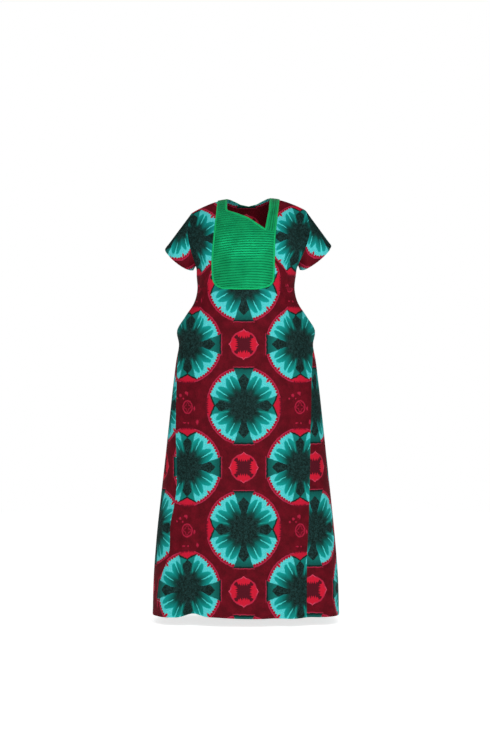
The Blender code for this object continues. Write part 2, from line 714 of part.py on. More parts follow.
def make_bib(materials):
    """The bib's main piece, its strap and the two bindings, on one chart."""
    outline = rounded(chart_path(BIB_OUTLINE), 0.012)
    inner_outline = beside(outline, -BIB_BINDING)
    strip("bib_binding", outline, inner_outline, materials["binding_cloth"])
    front_neck = chart_path(NECKLINE)
    shares, ways, _ = back_columns()
    inside = slice(LEFT_COLUMNS + 1, LEFT_COLUMNS + BACK_NECK_COLUMNS)
    back_along = -np.interp(ways[0, inside], CHART_WAYS, CHART[BACK])
    back_neck = np.stack([shares[0, inside] * SHOULDER_POINT, back_along], axis=-1)[::-1]
    neck = spaced(np.concatenate([front_neck, back_neck]), 0.013, closed=True)
    outer_neck = beside(neck, NECK_BINDING, closed=True)
    strip("neck_binding", neck, outer_neck, materials["binding_cloth"], closed=True)

    clear = SEAM_GAP
    fit_outline = beside(outline, -BIB_BINDING - clear)
    fit_neck = beside(neck, NECK_BINDING + NECK_CLEARANCE, closed=True)
    lowest = int(np.argmax(fit_neck[:, 1]))
    neck_left = fit_neck[: lowest + 1]
    neck_right = fit_neck[lowest : lowest + 20]
    bottom = float(fit_outline[:, 1].max()) - 0.0012
    top = 0.0030
    half = TUCK_PITCH / 2
    rows = int((bottom - top) / half) + 1
    alongs = bottom - half * np.arange(rows)
    split = int(np.argmax(alongs < fit_neck[lowest, 1])) - 1
    columns = 12
    left_columns = 8
    across = np.zeros((rows, columns + 1))
    for r, along in enumerate(alongs):
        left, right = crossing(fit_outline, along)
        if r <= split:
            notch = fit_neck[lowest, 0]
            across[r, : left_columns + 1] = np.linspace(left, notch, left_columns + 1)
            across[r, left_columns:] = np.linspace(notch, right, columns - left_columns + 1)
            even = np.linspace(left, right, columns + 1)
            across[r] = across[r] if r > split - 8 else even + (across[r] - even) * r / (split - 7)
        else:
            end = min(crossing(neck_left, along))
            across[r, : left_columns + 1] = np.linspace(left, end, left_columns + 1)
            across[r, left_columns:] = end
    along_grid = np.repeat(alongs[:, None], columns + 1, axis=1)
    height = BIB_CLOTH + TUCK_HEIGHT * (np.arange(rows) % 2)[:, None] + 0 * across
    applied(
        "bib",
        across,
        along_grid,
        height,
        materials["bib_cloth"],
        keep=lambda r, c: r < split or c < left_columns,
    )

    strap_end = float(alongs[split]) - clear
    strap_alongs = np.linspace(top, strap_end, 11)
    strap_columns = 6
    across = np.zeros((11, strap_columns + 1))
    for r, along in enumerate(strap_alongs):
        left = max(crossing(neck_right, along)) if along < fit_neck[lowest, 1] else fit_neck[lowest, 0]
        right = crossing(fit_outline, along)[1]
        across[r] = np.linspace(left, right, strap_columns + 1)
    along_grid = np.repeat(strap_alongs[:, None], strap_columns + 1, axis=1)
    height = BIB_CLOTH + TUCK_HEIGHT * (np.arange(strap_columns + 1) % 2)[None, :] + 0 * across
    applied("bib_strap", across, along_grid, height, materials["bib_cloth"])


def make_material(name, colour, roughness):
    material = bpy.data.materials.new(name)
    material.use_nodes = True
    shader = material.node_tree.nodes["Principled BSDF"]
    shader.inputs["Base Color"].default_value = colour
    shader.inputs["Roughness"].default_value = roughness
    shader.inputs["Metallic"].default_value = 0.0
    material.diffuse_color = colour
    return material


def main():
    for thing in list(bpy.data.objects):
        bpy.data.objects.remove(thing)
    materials = {name: make_material(name, *look) for name, look in MATERIALS.items()}

    front = panel_points(FRONT)
    back = panel_points(BACK)
    edges = {-1: (front[:, 0], back[:, 0]), 1: (front[:, -1], back[:, -1])}
    sheets = {}
    axis = np.array([0.0, 0.0, -0.7])
    for name, grid in (("front_panel", front), ("back_panel", back)):
        keep = outside_neck if name == "front_panel" else None
        points, faces = weld(grid.reshape(-1, 3), cells_of(*grid.shape[:2], keep=keep))
        sheets[name] = (points, turned_out(points, faces, axis))
    mouth = slice(ARMHOLE_ROWS + 6, ARMHOLE_ROWS + 12)
    bags = {}
    for side, word in ((-1, "left"), (1, "right")):
        front_edge, back_edge = edges[side]
        grid = gore_points(side)
        points, faces = weld(grid.reshape(-1, 3), cells_of(*grid.shape[:2]))
        sheets["side_panel_" + word] = (points, turned_out(points, faces, axis))
        armhole = slice(0, ARMHOLE_ROWS + 1)
        grid = sleeve_points(side, front_edge[armhole], back_edge[armhole])
        faces = cells_of(*grid.shape[:2], closed=True)
        points = grid.reshape(-1, 3)
        sheets["sleeve_" + word] = (points, turned_out(points, faces, ring_centres(grid, faces)))
        grid = bag_points(side, front_edge[mouth], back_edge[mouth])
        count = grid.shape[1]
        faces = cells_of(*grid.shape[:2], closed=True)
        points = np.concatenate([grid.reshape(-1, 3), grid[-1].mean(axis=0)[None]])
        last = (grid.shape[0] - 1) * count
        faces += [(last + k, len(points) - 1, last + (k + 1) % count) for k in range(count)]
        bags["pocket_" + word] = (points, turned_out(points, faces, ring_centres(grid, faces)))

    normals = shared_normals(sheets)
    for name, (points, faces) in sheets.items():
        moved = drawn_in(points, faces, normals[name], SEAM_GAP)
        wall(name, moved, faces, normals[name], -CLOTH, 0.0, materials["print_cloth"])
    bag_normals = shared_normals(bags)
    for name, (points, faces) in bags.items():
        wall(name, points, faces, bag_normals[name], -BAG_CLOTH, 0.0, materials["print_cloth"])
    make_bib(materials)


main()
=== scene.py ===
# %% [markdown]
# This lesson dresses a full-length robe in printed cotton. The real one is cut in flat pieces: a front,
# a back, two flared side panels, two short wide sleeves, pocket bags and an applied green bib with
# pin-tucks, and every edge is hemmed or bound. Each piece becomes a thin shell of its own, so that its
# print can run with its own grain, as it does on the cutting table.
#
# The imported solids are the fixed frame: the pieces here lie on the same surfaces, only finer.

# %% Load the frame and keep its box
import math
from collections import namedtuple

import bpy
import numpy as np
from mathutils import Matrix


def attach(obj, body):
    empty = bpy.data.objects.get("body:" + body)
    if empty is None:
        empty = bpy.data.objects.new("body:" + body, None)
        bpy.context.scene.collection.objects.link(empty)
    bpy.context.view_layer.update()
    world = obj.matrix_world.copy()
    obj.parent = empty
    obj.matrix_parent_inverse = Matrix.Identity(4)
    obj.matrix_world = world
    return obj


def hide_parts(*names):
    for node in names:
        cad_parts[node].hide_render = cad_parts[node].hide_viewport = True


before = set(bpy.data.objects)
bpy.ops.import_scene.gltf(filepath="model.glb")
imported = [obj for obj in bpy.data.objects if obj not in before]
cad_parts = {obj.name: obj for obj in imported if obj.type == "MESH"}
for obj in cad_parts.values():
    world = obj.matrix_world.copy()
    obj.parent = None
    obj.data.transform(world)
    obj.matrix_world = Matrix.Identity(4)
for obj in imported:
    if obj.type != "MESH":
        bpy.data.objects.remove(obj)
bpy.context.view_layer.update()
print("solids:", ", ".join(sorted(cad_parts)))

# %% [markdown]
# The worn form is a stack of rounded sections. Each section has a half-width and a depth in front and
# behind, and a roundness: 2 gives an ellipse and 3 a flatter front with tighter sides. Heights are
# drops, which are distances below the shoulder line. A table is easier to correct than a sculpted mesh,
# because one number moves one thing.

# %% The sections of the worn form


def rows_of(kind, *rows):
    """A table from plain rows, each of which gets the names of its columns."""
    return tuple(kind(*row) for row in rows)


Section = namedtuple("Section", "drop half_width front back roundness")
SECTIONS = rows_of(
    Section,
    (0.0, 0.224, 0.072, 0.08, 2.2), (0.05, 0.228, 0.088, 0.098, 2.2),
    (0.1, 0.23, 0.103, 0.112, 2.2), (0.16, 0.222, 0.124, 0.118, 2.2),
    (0.205, 0.2005, 0.136, 0.117, 2.2), (0.232, 0.179, 0.139, 0.114, 2.3),
    (0.268, 0.1735, 0.138, 0.11, 2.3), (0.32, 0.1705, 0.133, 0.106, 2.3),
    (0.365, 0.183, 0.131, 0.112, 2.35), (0.41, 0.213, 0.133, 0.122, 2.4),
    (0.455, 0.2405, 0.138, 0.132, 2.5), (0.51, 0.2345, 0.145, 0.14, 2.5),
    (0.56, 0.243, 0.149, 0.145, 2.6), (0.63, 0.252, 0.154, 0.15, 2.7),
    (0.77, 0.2675, 0.163, 0.16, 2.7), (0.91, 0.2825, 0.171, 0.17, 2.7),
    (1.05, 0.2985, 0.18, 0.18, 2.7), (1.19, 0.3145, 0.188, 0.19, 2.7),
    (1.33, 0.3265, 0.196, 0.198, 2.7), (1.47, 0.331, 0.203, 0.206, 2.7),
)

Shoulder = namedtuple("Shoulder", "across drop")
SHOULDER_LINE = rows_of(
    Shoulder,
    (0.0, -0.004), (0.0745, -0.0005), (0.1, 0.003), (0.125, 0.0095), (0.15, 0.019),
    (0.175, 0.03), (0.2, 0.044), (0.215, 0.058), (0.24, 0.08),
)

SHOULDER_POINT = 0.200
UNDERARM = 0.232
POCKET_TOP = 0.3735
POCKET_END = 0.4914
GORE_TOP = 0.515
HEM = 1.446
ARCH = 0.130
MOUTH_FRONT = 0.028
MOUTH_BACK = 0.012
FRONT = -1
BACK = 1


def column(table, name):
    return np.array([getattr(row, name) for row in table])


def smooth(knots, values, at):
    """A smooth curve through a table's values, with level ends."""
    slopes = np.gradient(values, knots)
    at = np.clip(at, knots[0], knots[-1])
    left = np.clip(np.searchsorted(knots, at) - 1, 0, len(knots) - 2)
    span = knots[left + 1] - knots[left]
    t = (at - knots[left]) / span
    from_left = (2 * t**3 - 3 * t**2 + 1) * values[left] + (t**3 - 2 * t**2 + t) * span * slopes[left]
    from_right = (3 * t**2 - 2 * t**3) * values[left + 1] + (t**3 - t**2) * span * slopes[left + 1]
    return from_left + from_right


def read(table, key, name, at):
    return smooth(column(table, key), column(table, name), np.asarray(at, float))


def step(at, start, end):
    t = np.clip((at - start) / (end - start), 0.0, 1.0)
    return t * t * (3 - 2 * t)


def shoulder_drop(across):
    return read(SHOULDER_LINE, "across", "drop", np.abs(across))


print("length from shoulder to hem:", round(HEM, 3), "m")

# %% [markdown]
# Cloth rolls over the shoulder before it hangs. The rule for that is an arch: a point's way runs a
# quarter turn over the shoulder line and then straight down. The way also gives the share of the
# section's full depth that the cloth has reached.

# %% Over the shoulder and down


def fall(way):
    over = way < math.pi / 2
    drop = np.where(over, ARCH * (1 - np.cos(way)), ARCH * (1 + way - math.pi / 2))
    return drop, np.where(over, np.sin(way), 1.0)


def way_of(below):
    below = np.maximum(below, 0.0)
    over = below < ARCH
    return np.where(over, np.arccos(1 - np.minimum(below, ARCH) / ARCH), math.pi / 2 + below / ARCH - 1)


def bare_point(face, across, drop):
    """A point before its folds, with what the folds need to know."""
    across = np.asarray(across, float)
    half_width = read(SECTIONS, "drop", "half_width", drop)
    depth = read(SECTIONS, "drop", "front" if face == FRONT else "back", drop)
    power = read(SECTIONS, "drop", "roundness", drop)
    ratio = np.clip(np.abs(across) / half_width, 0.0, 1.0)
    share = fall(way_of(drop - shoulder_drop(across)))[1]
    y = face * depth * (1 - ratio**power) ** (1 / power) * share
    return across, y, ratio, half_width, depth, power


def settle(x, y, drop):
    """The shoulders sit a little to one side, and one a little higher."""
    share = 1 - step(drop, 0.12, 0.30)
    return np.stack([x + 0.0095 * share, y + 0 * x, -drop + 0.022 * x * share], axis=-1)


# %% [markdown]
# Folds come in two sizes. The long soft ones fall from the hip to the hem and are the same in the
# solids: each sits at a place round the robe, where 0 is the front centre, 1 the right side and 2 the
# back centre. The small ones are strokes drawn on a panel: a trough or a ridge from one point to
# another, which fades at both ends. Cloth never repeats itself, so no two strokes are alike.

# %% Long folds and small creases
Fold = namedtuple("Fold", "turn width depth top lift")
FOLDS = rows_of(
    Fold,
    (-0.57, 0.1, 0.012, 1.02, 0.0), (-0.3, 0.09, -0.016, 1.0, 0.015),
    (-0.13, 0.08, 0.008, 0.8, 0.004), (0.03, 0.09, 0.01, 0.7, 0.0),
    (0.12, 0.06, -0.008, 0.6, 0.001), (0.23, 0.07, 0.01, 0.5, 0.0),
    (0.4, 0.08, -0.011, 0.52, 0.002), (0.64, 0.09, 0.01, 0.8, 0.001),
    (1.0, 0.12, -0.008, 0.9, 0.003), (1.37, 0.1, 0.012, 0.75, 0.0),
    (1.58, 0.08, -0.011, 0.6, 0.004), (1.78, 0.09, 0.013, 0.55, 0.0),
    (1.99, 0.1, -0.012, 0.62, 0.005), (2.2, 0.09, 0.014, 0.58, 0.0),
    (2.41, 0.08, -0.012, 0.8, 0.004), (2.63, 0.1, 0.011, 0.95, 0.0),
    (3.0, 0.12, -0.007, 1.05, 0.002),
)

Crease = namedtuple("Crease", "x0 d0 x1 d1 width height")
CREASES = {
    FRONT: rows_of(
        Crease,
        (0.134, 0.05, 0.142, 0.175, 0.008, -0.0045), (0.15, 0.06, 0.156, 0.19, 0.009, 0.003),
        (-0.15, 0.07, -0.158, 0.185, 0.01, -0.003), (0.17, 0.205, 0.118, 0.262, 0.008, -0.003),
        (0.166, 0.232, 0.112, 0.3, 0.009, 0.0026), (-0.172, 0.208, -0.135, 0.265, 0.008, -0.0032),
        (-0.166, 0.236, -0.122, 0.318, 0.01, 0.0026), (-0.157, 0.44, -0.151, 0.585, 0.007, -0.004),
        (-0.168, 0.455, -0.165, 0.57, 0.008, 0.0024), (0.138, 0.47, 0.145, 0.64, 0.01, -0.004),
        (0.168, 0.5, 0.178, 0.7, 0.011, 0.003), (0.188, 0.48, 0.198, 0.61, 0.008, -0.0034),
        (0.15, 0.8, 0.156, 1.06, 0.012, -0.0045), (0.19, 0.84, 0.202, 1.12, 0.012, 0.0035),
        (-0.205, 0.6, -0.214, 0.9, 0.012, -0.003), (-0.232, 1.08, -0.246, 1.43, 0.01, -0.006),
        (-0.21, 1.14, -0.222, 1.44, 0.012, 0.004), (-0.1, 1.18, -0.112, 1.446, 0.014, -0.003),
        (0.06, 1.12, 0.066, 1.446, 0.016, 0.003), (0.12, 1.2, 0.128, 1.446, 0.012, -0.0035),
        (0.03, 0.34, 0.09, 0.362, 0.012, -0.0016), (-0.08, 0.338, -0.01, 0.352, 0.012, -0.0014),
        (-0.15, 0.35, -0.06, 0.375, 0.012, 0.0016), (0.15, 0.33, 0.1, 0.385, 0.01, -0.0022),
    ),
    BACK: rows_of(
        Crease,
        (-0.03, 0.06, -0.05, 0.3, 0.016, -0.004), (0.05, 0.08, 0.062, 0.32, 0.015, -0.0036),
        (0.11, 0.06, 0.128, 0.25, 0.012, 0.0036), (-0.12, 0.07, -0.13, 0.24, 0.012, 0.0036),
        (0.168, 0.215, 0.09, 0.3, 0.01, -0.0034), (-0.168, 0.215, -0.085, 0.292, 0.011, -0.0034),
        (-0.11, 0.33, 0.02, 0.345, 0.012, 0.0026), (0.0, 0.352, 0.12, 0.338, 0.012, -0.0028),
        (-0.06, 0.42, -0.085, 0.9, 0.018, -0.005), (0.08, 0.43, 0.1, 0.98, 0.018, -0.005),
        (0.0, 0.5, 0.01, 1.2, 0.02, 0.0046), (-0.17, 0.56, -0.19, 1.2, 0.016, 0.004),
        (0.17, 0.6, 0.195, 1.3, 0.016, 0.0042),
    ),
}


def crease_relief(face, across, drop):
    """How far the small creases stand out, or in, at each place of a panel."""
    relief = 0.0012 * np.sin(across * 61 + drop * 9) * np.sin(drop * 23 + across * 17)
    for crease in CREASES[face]:
        run = np.array([crease.x1 - crease.x0, crease.d1 - crease.d0])
        length = float(np.hypot(*run))
        along = ((across - crease.x0) * run[0] + (drop - crease.d0) * run[1]) / length
        beside = ((drop - crease.d0) * run[0] - (across - crease.x0) * run[1]) / length
        beside = beside + 0.003 * np.sin(along * 37 + crease.x0 * 90)
        fade = step(along, -0.3 * length, 0.35 * length) * (1 - step(along, 0.6 * length, 1.3 * length))
        if crease.d1 >= HEM - 0.02:
            fade = step(along, -0.3 * length, 0.6 * length)
        relief = relief + crease.height * np.exp(-((beside / crease.width) ** 2)) * fade
    return relief


def robe_point(face, across, drop, small=True):
    x, y, ratio, half_width, depth, power = bare_point(face, across, drop)
    side = np.where(x < 0, -1.0, 1.0)
    quarter = np.arcsin(ratio ** (power / 2)) / (math.pi / 2)
    turn = side * quarter if face == FRONT else side * (2 - quarter)
    nx = side * ratio ** (power - 1) / half_width
    ny = face * (np.abs(y) / depth) ** (power - 1) / depth
    size = np.hypot(nx, ny) + 1e-12
    offset = 0.0
    lift = 0.0
    for fold in FOLDS:
        apart = (turn - fold.turn + 2) % 4 - 2
        crest = np.exp(-((apart / fold.width) ** 2))
        offset = offset + fold.depth * crest * step(drop, fold.top, HEM + 0.1)
        lift = lift + fold.lift * crest * step(drop, 1.12, HEM)
    if small:
        edge = 1 - step(ratio, 0.86, 0.98)
        offset = offset + crease_relief(face, x, drop) * edge * step(drop, 0.03, 0.08)
    return settle(x + offset * nx / size, y + offset * ny / size, drop - lift)


print(len(FOLDS), "long folds and", sum(map(len, CREASES.values())), "small creases")

# %% [markdown]
# A panel ends at its seams. The armhole is a table of its own, the side seam opens at the pocket's
# mouth, and below the hip the side panel is let in. The front neckline is a list of corners, notched on
# one side; the back one is a shallow curve.

# %% Seams, neckline and bib outline
Armhole = namedtuple("Armhole", "drop across")
ARMHOLE = rows_of(
    Armhole,
    (0.0, 0.2), (0.044, 0.2), (0.086, 0.2105), (0.121, 0.213), (0.152, 0.2065),
    (0.196, 0.1925), (0.215, 0.185), (0.232, 0.179),
)

Seam = namedtuple("Seam", "drop front_left front_right back")
GORE_SEAMS = rows_of(
    Seam,
    (0.515, 0.235, 0.235, 0.235), (0.56, 0.2385, 0.231, 0.2385), (0.63, 0.24, 0.227, 0.238),
    (0.77, 0.2435, 0.2235, 0.235), (1.05, 0.2445, 0.219, 0.231), (1.12, 0.258, 0.217, 0.23),
    (1.24, 0.266, 0.2125, 0.229), (1.3, 0.286, 0.212, 0.228), (1.4, 0.302, 0.2115, 0.227),
    (1.47, 0.308, 0.2115, 0.226),
)

Corner = namedtuple("Corner", "across drop")
NECKLINE = rows_of(
    Corner,
    (-0.0747, -0.0005), (-0.0754, 0.0342), (-0.0719, 0.0414), (-0.064, 0.0441), (-0.0375, 0.0531),
    (-0.0022, 0.0678), (0.0227, 0.0851), (0.0411, 0.0979), (0.056, 0.1089), (0.0612, 0.0824),
    (0.0694, 0.0415), (0.0745, -0.0005),
)
LEFT_CORNER = 2
NOTCH = 8
BACK_NECK_WAY = 0.64

BIB_OUTLINE = rows_of(
    Corner,
    (-0.1078, 0.0), (-0.1148, 0.065), (-0.1212, 0.1232), (-0.1239, 0.1795), (-0.1231, 0.2129),
    (-0.1199, 0.2567), (-0.1146, 0.2895), (-0.1048, 0.3053), (-0.0872, 0.315), (-0.045, 0.3185),
    (-0.0059, 0.319), (0.0599, 0.315), (0.0841, 0.3058), (0.0952, 0.2897), (0.0965, 0.2679),
    (0.0949, 0.2133), (0.0926, 0.1454), (0.0973, 0.09), (0.1043, 0.0329), (0.1085, 0.0),
)


def section_across(face, forward, drop):
    half_width = read(SECTIONS, "drop", "half_width", drop)
    depth = read(SECTIONS, "drop", "front" if face == FRONT else "back", drop)
    power = read(SECTIONS, "drop", "roundness", drop)
    return half_width * (1 - (forward / depth) ** power) ** (1 / power)


def edge_across(face, side, drop):
    if drop <= UNDERARM:
        return float(read(ARMHOLE, "drop", "across", drop))
    if drop <= GORE_TOP:
        rise = np.clip((drop - POCKET_TOP) / (POCKET_END - POCKET_TOP), 0.0, 1.0)
        mouth = MOUTH_FRONT if face == FRONT else MOUTH_BACK
        return float(section_across(face, mouth * math.sin(math.pi * rise), drop))
    name = "back" if face == BACK else ("front_left" if side < 0 else "front_right")
    limit = float(read(SECTIONS, "drop", "half_width", drop))
    return min(float(read(GORE_SEAMS, "drop", name, drop)), limit)


def across_at(face, share, drop):
    """Where a column that lies at this share of the half panel is, at this drop."""
    edge = edge_across(face, share, drop)
    samples = edge * np.sin(np.linspace(0.0, math.pi / 2, 48))
    x, y = bare_point(face, samples, drop)[:2]
    length = np.concatenate([[0.0], np.cumsum(np.hypot(np.diff(x), np.diff(y)))])
    along = float(np.interp(abs(share) * length[-1], length, samples))
    mix = float(step(drop, 0.10, 0.22))
    return math.copysign((1 - mix) * abs(share) * edge + mix * along, share)


def place(face, share, way):
    drop = 0.05
    for _ in range(10):
        line = float(shoulder_drop(across_at(face, share, drop)))
        drop = 0.3 * drop + 0.7 * (line + float(fall(way)[0]))
    return across_at(face, share, drop), drop


# %% [markdown]
# Each panel is a grid of places: rows run round the robe and columns run down it. The rows are close
# together, and the columns are worked out coarsely and then split, because only the rows follow the
# seams. The last rows lie close together so that the hem can have its turned edge and its stitch line.

# %% Grids of the front and the back
NECK_ROWS = 14
ARMHOLE_ROWS = 28
HIP_ROWS = 30
LEFT_COLUMNS = 7
FRONT_NECK_COLUMNS = 8
BACK_NECK_COLUMNS = 8
RIGHT_COLUMNS = 8
SPLIT = 4
HEM_DROPS = HEM - np.array([0.0200, 0.0150, 0.0125, 0.0110, 0.0095, 0.0075, 0.0040, 0.0])
SKIRT_DROPS = np.concatenate([np.linspace(GORE_TOP, HEM - 0.026, 84), HEM_DROPS])


def neck_side(corners):
    ways = [float(way_of(c.drop - shoulder_drop(c.across))) for c in corners]
    shares = [c.across / edge_across(FRONT, 1, c.drop) for c in corners]
    rows = np.linspace(0.0, ways[-1], NECK_ROWS + 1)
    return np.interp(rows, ways, shares), rows


def front_columns():
    left_shares, left_ways = neck_side(NECKLINE[: LEFT_CORNER + 1])
    right_shares, right_ways = neck_side(NECKLINE[: NOTCH - 1 : -1])
    count = LEFT_COLUMNS + FRONT_NECK_COLUMNS + RIGHT_COLUMNS + 1
    shares = np.zeros((NECK_ROWS + 1, count))
    ways = np.full((NECK_ROWS + 1, count), 0.5)
    first, last = LEFT_COLUMNS, LEFT_COLUMNS + FRONT_NECK_COLUMNS
    side_way = float(way_of(UNDERARM - shoulder_drop(edge_across(FRONT, 1, UNDERARM))))
    for r in range(NECK_ROWS + 1):
        side = side_way * r / ARMHOLE_ROWS
        shares[r, first : last + 1] = np.linspace(left_shares[r], right_shares[r], last - first + 1)
        shares[r, : first + 1] = np.linspace(-1.0, left_shares[r], first + 1)
        ways[r, : first + 1] = np.linspace(side, left_ways[r], first + 1)
        shares[r, last:] = np.linspace(right_shares[r], 1.0, RIGHT_COLUMNS + 1)
        ways[r, last:] = np.linspace(right_ways[r], side, RIGHT_COLUMNS + 1)
    between = NECKLINE[LEFT_CORNER : NOTCH + 1]
    corners = [c.across / edge_across(FRONT, 1, c.drop) for c in between]
    drops = np.interp(shares[NECK_ROWS, first : last + 1], corners, [c.drop for c in between])
    for c in range(first, last + 1):
        across = across_at(FRONT, shares[NECK_ROWS, c], drops[c - first])
        ways[NECK_ROWS, c] = float(way_of(drops[c - first] - shoulder_drop(across)))
    return shares, ways


def back_columns():
    left, right = (NECKLINE[k].across / SHOULDER_POINT for k in (0, -1))
    shares = list(np.linspace(-1.0, left, LEFT_COLUMNS + 1))
    ways = [0.0] * len(shares)
    for k in range(1, BACK_NECK_COLUMNS):
        t = 0.5 - 0.5 * math.cos(math.pi * k / BACK_NECK_COLUMNS)
        shares.append(left + (right - left) * t)
        ways.append(BACK_NECK_WAY * math.sin(math.pi * t) ** 0.8)
    shares += list(np.linspace(right, 1.0, RIGHT_COLUMNS + 1))
    ways += [0.0] * (RIGHT_COLUMNS + 1)
    return np.array([shares]), np.array([ways])


def panel_places(face):
    """Across and drop of every place of the panel, rows by columns."""
    shares, ways = front_columns() if face == FRONT else back_columns()
    top = len(shares) - 1
    rows = []
    for r in range(ARMHOLE_ROWS):
        if r <= top:
            rows.append([place(face, share, way) for share, way in zip(shares[r], ways[r])])
            continue
        line = []
        for share, way in zip(shares[top], ways[top]):
            end = float(way_of(UNDERARM - shoulder_drop(across_at(face, share, UNDERARM))))
            mix = (r - top) / (ARMHOLE_ROWS - top)
            line.append(place(face, share, way + (end - way) * mix))
        rows.append(line)
    hip = np.linspace(UNDERARM, GORE_TOP, HIP_ROWS + 1)[:-1]
    for drop in np.concatenate([hip, SKIRT_DROPS]):
        rows.append([(across_at(face, share, drop), drop) for share in shares[top]])
    places = np.array(rows)
    fine = np.arange((places.shape[1] - 1) * SPLIT + 1) / SPLIT
    left = np.minimum(fine.astype(int), places.shape[1] - 2)
    mix = (fine - left)[None, :, None]
    return places[:, left] * (1 - mix) + places[:, left + 1] * mix


front_places = panel_places(FRONT)
back_places = panel_places(BACK)
print("front grid:", front_places.shape[:2], "back grid:", back_places.shape[:2])

# %% [markdown]
# The side panels are let in between the front and the back: each begins as a point at the hip and
# widens to the hem. The sleeves start from the armhole's own points, so that no gap can open there, and
# run to a slanted hem. They have a few soft folds of their own, which come from the shoulder point.

# %% Side panels, sleeves and pocket bags
GORE_COLUMNS = 26
SLEEVE_SHARES = np.concatenate([np.linspace(0.0, 0.86, 20), [0.900, 0.925, 0.940, 0.955, 0.975, 1.0]])
SLEEVE_TIP = (0.2890, 0.1650)
SLEEVE_INNER = (0.1870, 0.2475)
SLEEVE_HALF_DEPTH = 0.066
SLEEVE_DIP = 0.018
SleeveFold = namedtuple("SleeveFold", "angle twist width height")
SLEEVE_FOLDS = {
    -1: rows_of(
        SleeveFold,
        (0.55, 0.2, 0.16, 0.0022), (1.05, -0.25, 0.2, -0.0036), (1.75, 0.15, 0.22, 0.0026),
        (2.5, 0.1, 0.2, -0.003), (3.9, 0.1, 0.24, -0.0034), (5.1, -0.2, 0.26, 0.003),
    ),
    1: rows_of(
        SleeveFold,
        (0.4, 0.25, 0.15, -0.0024), (0.95, 0.1, 0.2, 0.003), (1.45, -0.2, 0.18, -0.0036),
        (2.3, 0.15, 0.22, 0.0026), (4.2, 0.15, 0.25, -0.0036), (5.4, -0.15, 0.22, 0.0028),
    ),
}
Bag = namedtuple("Bag", "inset top end half_thickness")
POCKET_BAG = rows_of(
    Bag,
    (0.018, 0.382, 0.505, 0.026), (0.042, 0.38, 0.555, 0.02), (0.072, 0.384, 0.6, 0.012),
    (0.1, 0.4, 0.612, 0.008), (0.122, 0.44, 0.595, 0.006),
)
BAG_CLEARANCE = 0.011
MOUTH = slice(ARMHOLE_ROWS + 15, ARMHOLE_ROWS + 30)


def lengths_along(line):
    return np.concatenate([[0.0], np.cumsum(np.linalg.norm(np.diff(line, axis=0), axis=1))])


def read_off(at, length, values):
    """Each column of a line's values, read off at these lengths along the line."""
    return np.stack([np.interp(at, length, of_line) for of_line in values.T], axis=-1)


def unit(vectors, least=0.0):
    return vectors / (np.linalg.norm(vectors, axis=-1, keepdims=True) + least)


def gore_grid(side):
    """Points of a side panel from front seam to back seam, and how far along its cloth each lies."""
    grid = np.zeros((len(SKIRT_DROPS), GORE_COLUMNS + 1, 3))
    along = np.zeros(grid.shape[:2])
    for r, drop in enumerate(SKIRT_DROPS):
        half_width = float(read(SECTIONS, "drop", "half_width", drop))
        halves = []
        for face in (FRONT, BACK):
            first = math.asin(min(edge_across(face, side, drop) / half_width, 1.0))
            out = half_width * np.sin(np.linspace(first, math.pi / 2, 60))
            line = robe_point(face, side * out, np.full(60, drop))
            halves.append(line if face == FRONT else line[::-1])
        line = np.concatenate([halves[0], halves[1][1:]])
        length = lengths_along(line)
        along[r] = np.linspace(0.0, length[-1], GORE_COLUMNS + 1)
        grid[r] = read_off(along[r], length, line)
    return grid, along


def sleeve_grid(side, front_edge, back_edge):
    """The sleeve's rings from the armhole to the hem, each point's angle, and where the rings start."""
    start = np.concatenate([front_edge, back_edge[-2:0:-1]])
    turned = []
    for edge, low in ((front_edge, 0.0), (back_edge, 2 * math.pi)):
        length = lengths_along(edge)
        turned.append(low + (math.pi - low) * length / length[-1])
    angles = np.concatenate([turned[0], turned[1][-2:0:-1]])
    tip = np.array([side * SLEEVE_TIP[0], 0.0, -SLEEVE_TIP[1]])
    inner = np.array([side * SLEEVE_INNER[0], 0.0, -SLEEVE_INNER[1]])
    up = (tip - inner) / 2
    out = np.array([side * abs(up[2]), 0.0, -abs(up[0])]) / np.linalg.norm(up)
    forward = np.array([0.0, -SLEEVE_HALF_DEPTH, 0.0]) + SLEEVE_DIP * out
    hem = (tip + inner) / 2 + np.outer(np.cos(angles), up) + np.outer(np.sin(angles), forward)
    hem = settle(hem[:, 0], hem[:, 1], -hem[:, 2])
    share = SLEEVE_SHARES[:, None, None]
    grid = start + (hem - start) * share
    away = np.outer(np.cos(angles), up / np.linalg.norm(up)) + np.outer(np.sin(angles), [0.0, -1.0, 0.0])
    relief = np.zeros(grid.shape[:2])
    for fold in SLEEVE_FOLDS[side]:
        apart = angles[None, :] - fold.angle - fold.twist * (SLEEVE_SHARES[:, None] - 0.5)
        apart = (apart + math.pi) % (2 * math.pi) - math.pi
        relief += fold.height * np.exp(-((apart / fold.width) ** 2))
    relief *= step(SLEEVE_SHARES, 0.02, 0.45)[:, None]
    grid = grid + away * relief[..., None]
    return grid, angles, len(front_edge)


